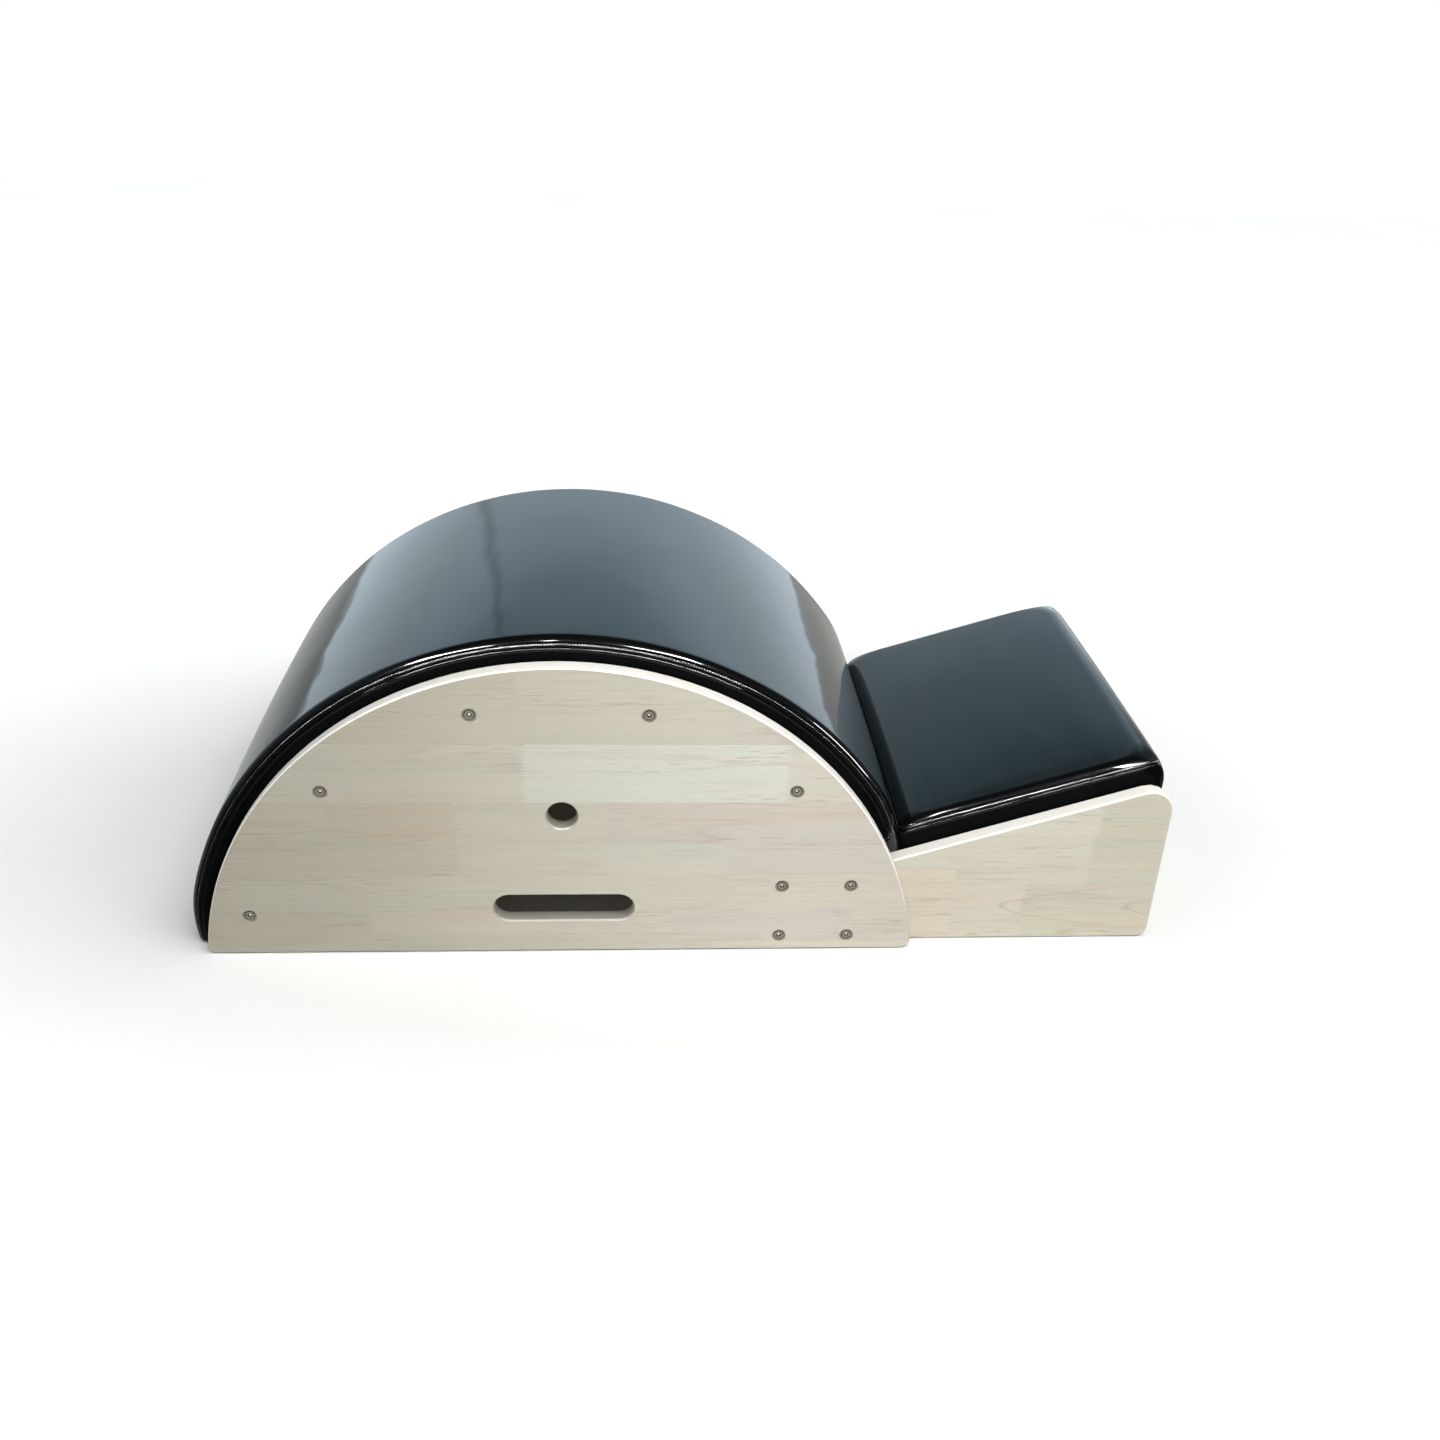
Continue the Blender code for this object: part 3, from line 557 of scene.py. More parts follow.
def lining(pad, form, count):
    """The cover turned in: up inside the skirt, then across just over the board.

    Its points are numbered on from count, the number of points outside.
    """
    corners = [max(end.corner - COVER, LEAST_LENGTH) for end in (pad.first, pad.last)]
    runs = rounded_plan(COVER, pad.length - COVER, pad.half - COVER, *corners, form.fineness)
    outline, bottom = going_round(runs), filled_plan(runs)
    ring = len(outline)
    lower, upper = (pad.place(*outline.T, np.full(ring, height)) for height in (-pad.skirt, LINING_LIFT))
    over = pad.place(*np.moveaxis(bottom, -1, 0), np.full(bottom.shape[:2], LINING_LIFT))
    points = np.concatenate([lower, upper, over[1:-1, 1:-1].reshape(-1, 3)])
    lower_ids = count + np.arange(ring)
    upper_ids = lower_ids + ring
    rim = dict(zip(form.band_ids[:, -1].tolist(), upper_ids.tolist()))
    shift = count + 2 * ring - form.band_ids.size
    under = np.vectorize(lambda number: rim.get(number, number + shift))(form.top_ids)
    faces = [wall(lower_ids, form.band_ids[:, 0]), wall(upper_ids, lower_ids), cells(under[:, ::-1])]
    return points, np.concatenate(faces)


def lengths_round(points):
    """How far round a closed line each of its points is, with its whole length last."""
    steps = np.linalg.norm(np.roll(points, -1, axis=0) - points, axis=1)
    return np.concatenate([[0.0], np.cumsum(steps)])


def map_seam(mesh, form, around):
    """A UV map of how far round the seam and how far above it each corner of the band's faces is."""
    corners = np.ones((len(mesh.loops), 2), np.float32)
    ring, levels = form.offsets.shape
    band = corners[: 4 * ring * (levels - 1)].reshape(ring, levels - 1, 4, 2)
    band[:, :, (0, 3), 0] = around[:-1, None, None]
    band[:, :, (1, 2), 0] = around[1:, None, None]
    after = np.roll(form.offsets, -1, axis=0)
    band[:, :, 0, 1], band[:, :, 3, 1] = form.offsets[:, :-1], form.offsets[:, 1:]
    band[:, :, 1, 1], band[:, :, 2, 1] = after[:, :-1], after[:, 1:]
    mesh.uv_layers.new(name="seam").data.foreach_set("uv", corners.reshape(-1))


def upholster(pad, coarse, fine):
    """The finished pad: its cover over the foam with the seam round it, and turned in under the board.

    Gives back the pad, and the line that its stitches follow with the cover's normals along it.
    """
    form = PadForm(pad, fine)
    band, top = form.faces()
    base = mesh_object("pad_form", form.points(), band.tolist() + top.tolist())
    normals = vectors(base.data.vertex_normals, "vector")
    points = vectors(base.data.vertices, "co")
    bpy.data.objects.remove(base)

    shape = form.top.shape[:2]
    share = resampled(swell(pad, coarse), shape) * dome(shape, SWELL_FADE)
    points = points + normals * raised(form, share, points)[:, None]
    stitched = form.row_at(STITCH_ROW)
    stitch_line = (points[stitched], normals[stitched])
    around = lengths_round(points[form.row_at(0.0)])

    inside, turned_in = lining(pad, form, len(points))
    faces = np.concatenate([band, top, turned_in])
    made = mesh_object(pad.name, np.concatenate([points, inside]), faces.tolist())
    made.data.shade_smooth()
    made.data.set_sharp_from_angle(angle=math.radians(PAD_SHARP))
    map_seam(made.data, form, around)
    return made, stitch_line


# Finishes

def shade(red, green, blue):
    """A colour written in the usual steps of 0 to 255."""
    def linear(value):
        value /= 255
        return value / 12.92 if value <= 0.04045 else ((value + 0.055) / 1.055) ** 2.4
    return (linear(red), linear(green), linear(blue))


class Finish:
    """One procedural finish. Each method adds a node and gives back its output."""

    def __init__(self, name):
        self.material = bpy.data.materials.new(name)
        self.material.use_nodes = True
        self.tree = self.material.node_tree
        self.shader = self.tree.nodes["Principled BSDF"]
        self.place = self.add("ShaderNodeTexCoord", out="Object")

    def add(self, kind, values=(), out=0, **settings):
        node = self.tree.nodes.new(kind)
        for name, value in settings.items():
            setattr(node, name, value)
        for key, value in dict(values).items():
            self.set(node.inputs[key], value)
        return node.outputs[out]

    def set(self, socket, value):
        if isinstance(value, bpy.types.NodeSocket):
            self.tree.links.new(value, socket)
        elif socket.type == "RGBA":
            socket.default_value = (*value, 1.0)
        else:
            socket.default_value = value

    def math(self, operation, *values):
        return self.add("ShaderNodeMath", dict(enumerate(values)), operation=operation)

    def plus(self, one, two):
        return self.math("ADD", one, two)

    def minus(self, one, two):
        return self.math("SUBTRACT", one, two)

    def times(self, one, two):
        return self.math("MULTIPLY", one, two)

    def apart(self, one, two):
        return self.math("ABSOLUTE", self.minus(one, two))

    def split(self, vector):
        outputs = self.add("ShaderNodeSeparateXYZ", {0: vector}).node.outputs
        return outputs[0], outputs[1], outputs[2]

    def join(self, x, y, z):
        return self.add("ShaderNodeCombineXYZ", {0: x, 1: y, 2: z})

    def stretched(self, vector, x, y, z):
        return self.add("ShaderNodeVectorMath", {0: vector, 1: (x, y, z)}, operation="MULTIPLY")

    def noise(self, vector, scale=1.0, detail=2.0, roughness=0.5, seed=0.0, distortion=0.0):
        values = {"Vector": vector, "W": seed, "Scale": scale, "Detail": detail, "Roughness": roughness}
        values["Distortion"] = distortion
        return self.add("ShaderNodeTexNoise", values, noise_dimensions="4D")

    def ranged(self, value, low, high, to_low=0.0, to_high=1.0):
        values = {0: value, 1: low, 2: high, 3: to_low, 4: to_high}
        return self.add("ShaderNodeMapRange", values)

    def mix(self, share, one, two, blend="MIX"):
        values = {0: share, 6: one, 7: two}
        return self.add("ShaderNodeMix", values, out=2, data_type="RGBA", blend_type=blend)

    def ramp(self, value, stops, interpolation="LINEAR"):
        output = self.add("ShaderNodeValToRGB", {0: value})
        ramp = output.node.color_ramp
        ramp.interpolation = interpolation
        while len(ramp.elements) > 1:
            ramp.elements.remove(ramp.elements[-1])
        ramp.elements[0].position = stops[0][0]
        ramp.elements[0].color = (*stops[0][1], 1.0)
        for position, colour in stops[1:]:
            ramp.elements.new(position).color = (*colour, 1.0)
        return output

    def chart(self, value, span, stops, interpolation="LINEAR"):
        """A ramp over a span of values, whose stops are at values too."""
        low, high = span
        shares = [((at - low) / (high - low), colour) for at, colour in stops]
        return self.ramp(self.ranged(value, low, high), shares, interpolation)

    def toned(self, colour, tone):
        return self.mix(1.0, colour, tone, "MULTIPLY")

    def bump(self, height, depth, normal=None):
        values = {"Height": height, "Distance": depth, "Strength": 1.0}
        if normal is not None:
            values["Normal"] = normal
        return self.add("ShaderNodeBump", values)

    def finish(self, **values):
        for name, value in values.items():
            self.set(self.shader.inputs[name.replace("_", " ").title().replace("Ior", "IOR")], value)
        return self.material


TINTS = {
    "plain": shade(210, 204, 189),
    "pale": shade(218, 218, 207),
    "light": shade(213, 208, 194),
    "rose": shade(209, 202, 190),
    "green": shade(209, 206, 191),
    "sand": shade(209, 202, 186),
    "brown": shade(207, 199, 183),
    "dim": shade(204, 199, 184),
    "warm": shade(213, 204, 186),
    "cool": shade(203, 198, 180),
}

# Colours of the marks in the wood
MARKS = {
    "ring": shade(158, 132, 112),
    "arch": shade(150, 124, 102),
    "dash": shade(166, 124, 102),
    "pore": shade(120, 92, 66),
    "glue": shade(150, 140, 120),
}

# Glued staves of the boards from the floor up: the height where each starts, and the blocks
# finger-jointed along it, each from an x from the arc's centre
BOARD_SPAN = (-0.42, 0.72)
BARREL_STAVES = [
    (0.000, [(-0.42, "dim"), (0.170, "plain")]),
    (0.012, [(-0.42, "brown"), (-0.222, "dim"), (0.230, "rose")]),
    (0.025, [(-0.42, "brown"), (-0.222, "plain"), (0.120, "rose"), (0.330, "sand")]),
    (0.058, [(-0.42, "plain"), (-0.222, "green"), (0.090, "sand"), (0.235, "plain")]),
    (0.107, [(-0.42, "brown"), (-0.120, "plain"), (0.045, "green"), (0.185, "rose")]),
    (0.149, [(-0.42, "sand"), (-0.260, "brown"), (-0.120, "plain"), (0.045, "rose")]),
    (0.203, [(-0.42, "light"), (-0.045, "pale"), (0.245, "light")]),
    (0.277, [(-0.42, "sand"), (-0.050, "plain"), (0.180, "rose")]),
]
STEP_STAVES = [
    (0.000, [(0.20, "warm"), (0.455, "sand"), (0.540, "cool")]),
    (0.078, [(0.20, "warm"), (0.455, "sand"), (0.610, "cool")]),
    (0.100, [(0.20, "plain"), (0.610, "cool")]),
    (0.145, [(0.20, "light"), (0.615, "cool")]),
]
FINGER_HALF = 0.0020
FINGER_LENGTH = 0.0080
GLUE_LINE = 0.0006
STAVE_SEED = 1.7
BLOCK_SEEDS = (91.0, 173.0, 57.0)

# Where y is counted from along the end board, so that it begins with the first block of each stave
ACROSS_START = -0.42

# Factors of the barrel boards' colour by x from the arc's centre, set against patches of the photograph.
# They are painted shade: the boards darken and turn greener towards the pad's foot, where the light falls
# off.
PLANK_PAINTED_SHADE = [
    (-0.40, (0.65, 0.65, 0.62)), (-0.27, (0.69, 0.70, 0.67)), (-0.17, (0.765, 0.75, 0.71)),
    (-0.09, (0.85, 0.84, 0.81)), (0.02, (0.905, 0.90, 0.88)), (0.11, (0.95, 0.95, 0.94)),
    (0.25, (1.0, 1.0, 1.0)), (0.38, (0.97, 0.97, 0.975)),
]

# Tones of the wood by its broad bands, its streaks and its fibres
BAND_TONES = [
    (0.28, (0.925, 0.945, 0.94)), (0.48, (1.0, 1.0, 1.0)),
    (0.62, (1.01, 0.975, 0.955)), (0.78, (0.96, 0.895, 0.86)),
]
STREAK_TONES = [(0.28, (0.88, 0.86, 0.83)), (0.42, (0.985, 0.98, 0.97)), (0.70, (1.04, 1.045, 1.045))]
FIBRE_TONES = [(0.30, (0.95, 0.945, 0.935)), (0.60, (1.02, 1.02, 1.02))]
GROWTH_RINGS = 9.0

# Arches of the growth rings at the end of the step's lowest stave: where they start and how far apart they
# are along it, the height of their tips, and how fast they bow away from it
ARCH_FROM = 0.53
ARCH_AT = 0.545
ARCH_PITCH = 0.075
ARCH_TIP = 0.045
ARCH_BOW = 0.0056
ARCH_TOP = 0.078

# The pad's shadow, painted on the rims of the barrel's boards by distance from the arc's centre
SHADED_RIM = (0.395, 0.400)


def glued_blocks(wood, staves, along, z):
    """The tint of each block, the glue lines between the staves, and a number for each block's own grain."""
    fingers = wood.math("PINGPONG", z, FINGER_HALF)
    back = wood.minus(along, FINGER_LENGTH / 2)
    jointed = wood.math("MULTIPLY_ADD", fingers, FINGER_LENGTH / FINGER_HALF, back)
    rows = [
        wood.chart(jointed, BOARD_SPAN, [(at, TINTS[tint]) for at, tint in blocks], "CONSTANT")
        for _, blocks in staves
    ]
    tint, glue, stave = rows[0], 0.0, STAVE_SEED
    for (start, _), row in zip(staves[1:], rows[1:]):
        above = wood.math("GREATER_THAN", z, start)
        tint = wood.mix(above, tint, row)
        glue = wood.math("MAXIMUM", glue, wood.ranged(wood.apart(z, start), 0.0, GLUE_LINE, 1.0, 0.0))
        stave = wood.math("MULTIPLY_ADD", above, STAVE_SEED, stave)
    by_tint = wood.add(
        "ShaderNodeVectorMath", {0: tint, 1: BLOCK_SEEDS}, out="Value", operation="DOT_PRODUCT"
    )
    return tint, glue, wood.plus(stave, by_tint)


def figured(wood, tint, layer, streaks, patches, pores):
    """The tint of the blocks with bands, streaks, fibres, growth rings, dashes and pores."""
    colour = wood.toned(tint, wood.ramp(layer(2.4, 48.0, detail=3), BAND_TONES))
    colour = wood.toned(colour, wood.ramp(streaks, STREAK_TONES))
    colour = wood.toned(colour, wood.ramp(layer(45.0, 2300.0), FIBRE_TONES))
    turns = wood.math("PINGPONG", wood.times(layer(1.2, 24.0, detail=1), GROWTH_RINGS), 0.5)
    ring = wood.ranged(turns, 0.075, 0.0, 0.0, wood.ranged(patches, 0.40, 0.60, 0.03, 0.18))
    colour = wood.mix(ring, colour, MARKS["ring"])
    dashes = wood.ranged(layer(30.0, 800.0, apart=9.0), 0.57, 0.68)
    dash = wood.times(dashes, wood.ranged(patches, 0.50, 0.62, 0.0, 0.62))
    colour = wood.mix(dash, colour, MARKS["dash"])
    return wood.mix(wood.times(pores, 0.20), colour, MARKS["pore"])


def arched_rings(wood, colour, along, z, sway):
    """The colour with arches of growth rings on the lowest stave."""
    bow = wood.math("DIVIDE", wood.math("POWER", wood.apart(z, ARCH_TIP), 2.0), ARCH_BOW)
    reach = wood.minus(wood.math("MULTIPLY_ADD", sway, 0.05, along), bow)
    line = wood.math("PINGPONG", wood.minus(reach, ARCH_AT), ARCH_PITCH)
    arch = wood.ranged(line, 0.006, 0.0, 0.0, 0.32)
    within = wood.times(wood.math("GREATER_THAN", reach, ARCH_FROM), wood.math("LESS_THAN", z, ARCH_TOP))
    return wood.mix(wood.times(arch, within), colour, MARKS["arch"])


def rims_sanded_with_painted_light(wood, colour, staves, along, z, facing):
    """The colour with the boards' rims paler, partly sanded and partly a painted highlight of the light from
    above, with painted shade near the floor and a painted shadow inside the barrel's arc, under its pad.
    """
    # Pale rims: sanded wood with a painted highlight of the light from above
    edge = wood.ranged(wood.math("ABSOLUTE", facing), 0.985, 0.80, 0.0, 0.85)
    # Painted shade: the rims darker near the floor
    rim = wood.mix(wood.ranged(z, 0.02, 0.13), shade(190, 184, 168), shade(230, 228, 221))
    # Painted shadow: the barrel boards' rims dark inside the arc, under the pad
    if staves is BARREL_STAVES:
        height = wood.plus(z, ARC_DROP)
        squares = wood.math("MULTIPLY_ADD", along, along, wood.times(height, height))
        rim = wood.mix(wood.ranged(wood.math("SQRT", squares), *SHADED_RIM), shade(150, 146, 134), rim)
    return wood.mix(edge, colour, rim)


def timber(name, staves, mirrored=None, across=False):
    """Glued rubberwood: staves of blocks in slightly different tints, with rings, streaks and pores.

    On a back board the blocks come in reverse, counted back from mirrored, and on the end board across.
    """
    wood = Finish(name)
    x, y, z = wood.split(wood.place)
    along = wood.minus(y, ACROSS_START) if across else wood.minus(x, ARC_X)
    if mirrored is not None:
        along = wood.minus(mirrored, along)
    grain = wood.join(along, x if across else y, z)
    tint, glue, block = glued_blocks(wood, staves, along, z)

    def layer(along_grain, over_grain, detail=2.0, roughness=0.5, apart=None):
        """Noise drawn out along the grain. Layers with the same number apart have one pattern."""
        stretched = wood.stretched(grain, along_grain, along_grain, over_grain)
        seed = block if apart is None else wood.plus(block, apart)
        return wood.noise(stretched, detail=detail, roughness=roughness, seed=seed)

    streaks = layer(11.0, 430.0, detail=4, roughness=0.72)
    patches = layer(5.0, 34.0, apart=5.0)
    pores = wood.ranged(layer(100.0, 1500.0, detail=1), 0.66, 0.74)
    colour = figured(wood, tint, layer, streaks, patches, pores)
    if staves is STEP_STAVES:
        colour = arched_rings(wood, colour, along, z, layer(10.0, 60.0))
    # Painted shade: the barrel boards darken and turn greener towards the pad's foot
    if staves is BARREL_STAVES:
        colour = wood.toned(colour, wood.chart(along, BOARD_SPAN, PLANK_PAINTED_SHADE))
    glue = wood.times(glue, wood.ranged(patches, 0.42, 0.58, 0.05, 0.30))
    colour = wood.mix(glue, colour, MARKS["glue"])
    facing = wood.split(wood.add("ShaderNodeTexCoord", out="Normal"))[0 if across else 1]
    colour = rims_sanded_with_painted_light(wood, colour, staves, along, z, facing)
    relief = wood.minus(wood.times(streaks, 0.5), wood.times(pores, 0.6))
    rough = wood.ranged(streaks, 0.3, 0.7, 0.42, 0.54)
    return wood.finish(
        base_color=colour, roughness=rough, specular_ior_level=0.35, normal=wood.bump(relief, 0.00006)
    )


# Tones of the plywood's veneer and of the softwood, by their grain
VENEER_TONES = [(0.3, shade(176, 142, 102)), (0.5, shade(205, 176, 134)), (0.7, shade(218, 192, 152))]
SOFTWOOD_TONES = [(0.35, shade(222, 196, 150)), (0.52, shade(206, 172, 122)), (0.60, shade(226, 202, 158))]


def plywood(name):
    """Bare plywood: a veneer face with long grain."""
    ply = Finish(name)
    streaks = ply.noise(ply.stretched(ply.place, 30.0, 3.0, 30.0), detail=4, roughness=0.6, distortion=0.4)
    fibres = ply.noise(ply.stretched(ply.place, 700.0, 25.0, 700.0))
    colour = ply.ramp(streaks, VENEER_TONES)
    colour = ply.mix(ply.ranged(fibres, 0.35, 0.7, 0.0, 0.35), colour, shade(150, 116, 80))
    return ply.finish(base_color=colour, roughness=0.62, normal=ply.bump(fibres, 0.00008))


def softwood(name):
    """Planed softwood with its rings as broad stripes along the piece."""
    wood = Finish(name)
    rings = wood.noise(wood.stretched(wood.place, 90.0, 2.0, 90.0), detail=3, roughness=0.55, distortion=0.6)
    fibres = wood.noise(wood.stretched(wood.place, 900.0, 20.0, 900.0))
    colour = wood.ramp(rings, SOFTWOOD_TONES)
    colour = wood.mix(wood.ranged(fibres, 0.4, 0.7, 0.0, 0.3), colour, shade(172, 134, 90))
    return wood.finish(base_color=colour, roughness=0.66, normal=wood.bump(fibres, 0.0001))


# Tones of a bolt's head by distance from its middle: the socket with a painted highlight, its rim in painted
# shade, the face, a ring of painted shade, and the edge with a painted highlight
HEAD_TONES_WITH_PAINTED_LIGHT = [
    (0.0014, shade(252, 250, 240)), (0.0019, shade(64, 57, 46)), (0.0028, shade(40, 36, 29)),
    (0.0035, shade(172, 164, 146)), (0.0044, shade(178, 170, 152)), (0.0050, shade(62, 55, 44)),
    (0.0058, shade(52, 46, 37)), (0.0064, shade(196, 190, 174)), (0.0072, shade(214, 208, 194)),
]


def zinc_plated(name):
    """Zinc-plated steel gone a little dull, with a faint warm bloom and fine scratches."""
    zinc = Finish(name)
    bloom = zinc.noise(zinc.place, 260.0, detail=3)
    scratches = zinc.noise(zinc.stretched(zinc.place, 4000.0, 4000.0, 500.0))
    bloomed = zinc.ramp(bloom, [(0.3, (0.86, 0.84, 0.80)), (0.55, (1, 1, 1)), (0.75, (1.06, 1.06, 1.06))])
    radius = zinc.add("ShaderNodeAttribute", out="Fac", attribute_name="radius")
    # The head's colour holds painted highlights and painted shade by distance from its middle
    colour = zinc.toned(zinc.chart(radius, (0.0, 0.01), HEAD_TONES_WITH_PAINTED_LIGHT), bloomed)
    rough = zinc.ranged(scratches, 0.3, 0.7, 0.26, 0.44)
    relief = zinc.bump(scratches, 0.00002)
    return zinc.finish(base_color=colour, metallic=0.12, roughness=rough, normal=relief)


# Puckers of the leather: how far they reach from the stitches and from the seam, and where it pulls most
PUCKER_BY_STITCHES = 0.0030
PUCKER_BY_SEAM = 0.0022
SEAM_PULL = -0.0016
SPECULAR = 0.15


def gloss_leather(name):
    """Black artificial leather with a high gloss: fine grain, and puckers along its seams.

    It is less polished on the side band, below the seam.
    """
    skin = Finish(name)
    grain = skin.add("ShaderNodeTexVoronoi", {"Vector": skin.place, "Scale": 900.0}, feature="SMOOTH_F1")
    peel = skin.noise(skin.place, 140.0, detail=1)
    clouds = skin.noise(skin.place, 9.0, detail=3)
    around, offset, _ = skin.split(skin.add("ShaderNodeUVMap", uv_map="seam"))
    wave = skin.math("COSINE", skin.times(around, 2 * math.pi / STITCH_PITCH))
    by_stitches = skin.ranged(skin.apart(offset, STITCH_ROW), 0.0, PUCKER_BY_STITCHES, 1.0, 0.0)
    by_seam = skin.ranged(skin.apart(offset, SEAM_PULL), 0.0, PUCKER_BY_SEAM, 0.8, 0.0)
    near = skin.math("MAXIMUM", by_stitches, by_seam)
    drift = skin.ranged(skin.noise(skin.place, 45.0), 0.35, 0.65, 0.25, 1.2)
    puckers = skin.bump(skin.times(skin.times(wave, near), drift), 0.00016)
    polish = skin.ranged(offset, -0.0050, -0.0030, 0.15, 1.0)
    return skin.finish(
        base_color=skin.ramp(clouds, [(0.3, (0.0018, 0.0021, 0.0023)), (0.7, (0.0032, 0.0036, 0.0039))]),
        roughness=skin.ranged(clouds, 0.3, 0.7, 0.18, 0.24),
        ior=1.16,
        specular_ior_level=skin.times(polish, SPECULAR),
        normal=skin.bump(grain, 0.000008, puckers),
        coat_weight=polish,
        coat_roughness=0.025,
        coat_ior=1.24,
        coat_normal=skin.bump(peel, 0.000008, puckers),
    )


def thread(name):
    """Black twisted sewing thread."""
    yarn = Finish(name)
    twist = yarn.noise(yarn.stretched(yarn.place, 5200.0, 5200.0, 5200.0), detail=1)
    colour = yarn.ramp(twist, [(0.35, (0.010, 0.010, 0.011)), (0.65, (0.030, 0.031, 0.033))])
    relief = yarn.bump(twist, 0.00005)
    return yarn.finish(base_color=colour, roughness=0.30, coat_weight=1.0, coat_roughness=0.06, normal=relief)


def paint(piece, finish):
    piece.data.materials.clear()
    piece.data.materials.append(finish)


def finish_model(steel):
    """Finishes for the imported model's own pieces. Whatever isn't named here is steel."""
    finishes = {
        "barrel_side_front": timber("rubberwood_barrel_front", BARREL_STAVES),
        "barrel_side_back": timber("rubberwood_barrel_back", BARREL_STAVES, mirrored=0.0),
        "step_side_front": timber("rubberwood_step_front", STEP_STAVES),
        "step_side_back": timber("rubberwood_step_back", STEP_STAVES, mirrored=1.06),
        "step_end_board": timber("rubberwood_end", STEP_STAVES, across=True),
        "barrel_deck": plywood("bent_plywood"),
        "step_seat_board": plywood("plywood"),
    }
    finishes.update(dict.fromkeys(("cross_rail", "step_cleat", "end_board_dowel"), softwood("softwood")))
    for node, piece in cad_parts.items():
        paint(piece, next((finish for start, finish in finishes.items() if node.startswith(start)), steel))


def dress(piece, finish, slot, *nodes):
    """Puts a finished piece on the model: its finish, the body that it rides on, and what it stands for."""
    paint(piece, finish)
    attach(piece, "root")
    if nodes:
        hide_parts(*nodes)


# Stitches and bolts

def turned(name, rings, sides):
    """A closed body turned about Z from rings, lowest first: radius, height, and corners or 0 for round."""
    made = bmesh.new()
    loops = []
    for radius, height, corners in rings:
        loop = []
        for k in range(sides):
            a = 2 * math.pi * k / sides
            reach = radius
            if corners:
                half = math.pi / corners
                reach = radius * math.cos(half) / math.cos((a + half) % (2 * half) - half)
            loop.append(made.verts.new((reach * math.cos(a), reach * math.sin(a), height)))
        loops.append(loop)
    for loop, above in zip(loops, loops[1:]):
        for k in range(sides):
            made.faces.new((loop[k], loop[(k + 1) % sides], above[(k + 1) % sides], above[k]))
    made.faces.new(loops[0][::-1])
    made.faces.new(loops[-1])
    bmesh.ops.recalc_face_normals(made, faces=made.faces)
    mesh = bpy.data.meshes.new(name)
    made.to_mesh(mesh)
    made.free()
    mesh.shade_smooth()
    mesh.set_sharp_from_angle(angle=math.radians(TURNED_SHARP))
    return in_scene(name, mesh)


def socket_bolt(shank):
    """A bolt that points along Z: its shank, a low domed head with an eased rim, and a hexagon socket."""
    rim = HEAD_RADIUS - HEAD_RIM
    land = SOCKET_RADIUS + SOCKET_LAND
    mouth = HEAD_THICKNESS - HEAD_DIP
    bottom = HEAD_THICKNESS - SOCKET_DEPTH
    shoulder = HEAD_THICKNESS - HEAD_DOME - HEAD_EASE
    inwards, length = SHANK_CHAMFER
    rings = [(SHANK_RADIUS - inwards, -shank, 0), (SHANK_RADIUS, length - shank, 0), (SHANK_RADIUS, 0.0, 0)]
    rings += [(rim, 0.0, 0), (HEAD_RADIUS, HEAD_RIM, 0), (HEAD_RADIUS, shoulder, 0)]
    for share in (0.0, 0.2, 0.4, 0.6, 0.8, 1.0):
        height = HEAD_THICKNESS - HEAD_DOME * (1 - share) ** HEAD_DOME_POWER - HEAD_DIP * share
        rings.append((rim + (land - rim) * share, height, 0))
    rings += [(SOCKET_RADIUS + SOCKET_CHAMFER, mouth - 0.3 * SOCKET_CHAMFER, 0)]
    rings += [(SOCKET_RADIUS, mouth - SOCKET_CHAMFER, 6), (SOCKET_RADIUS * SOCKET_TAPER, bottom, 6)]
    rings += [(DRILL_RADIUS, bottom - DRILL_POINT, 0)]
    bolt = turned("socket_bolt", rings, 48)
    radius = bolt.data.attributes.new("radius", "FLOAT", "POINT")
    radius.data.foreach_set("value", [math.hypot(vertex.co.x, vertex.co.y) for vertex in bolt.data.vertices])
    return bolt


def stitch_bead():
    """One stitch of thread, as a short bead that dives in at both ends, along X with Z out of the cover."""
    shares = ((-1.0, 0.2), (-0.85, 0.75), (-0.4, 1.0), (0.4, 1.0), (0.85, 0.75), (1.0, 0.2))
    rings = [(THREAD_RADIUS * thick, share * STITCH_LENGTH / 2, 0) for share, thick in shares]
    bead = turned("stitch", rings, 8)
    for vertex in bead.data.vertices:
        x, y, z = vertex.co
        vertex.co = (z, y, -x - THREAD_DIVE * THREAD_RADIUS * abs(2 * z / STITCH_LENGTH) ** 3)
    return bead


def wire(tree, *pairs):
    """Links a node tree's sockets, each pair from an output to an input."""
    for source, target in pairs:
        tree.links.new(source, target)


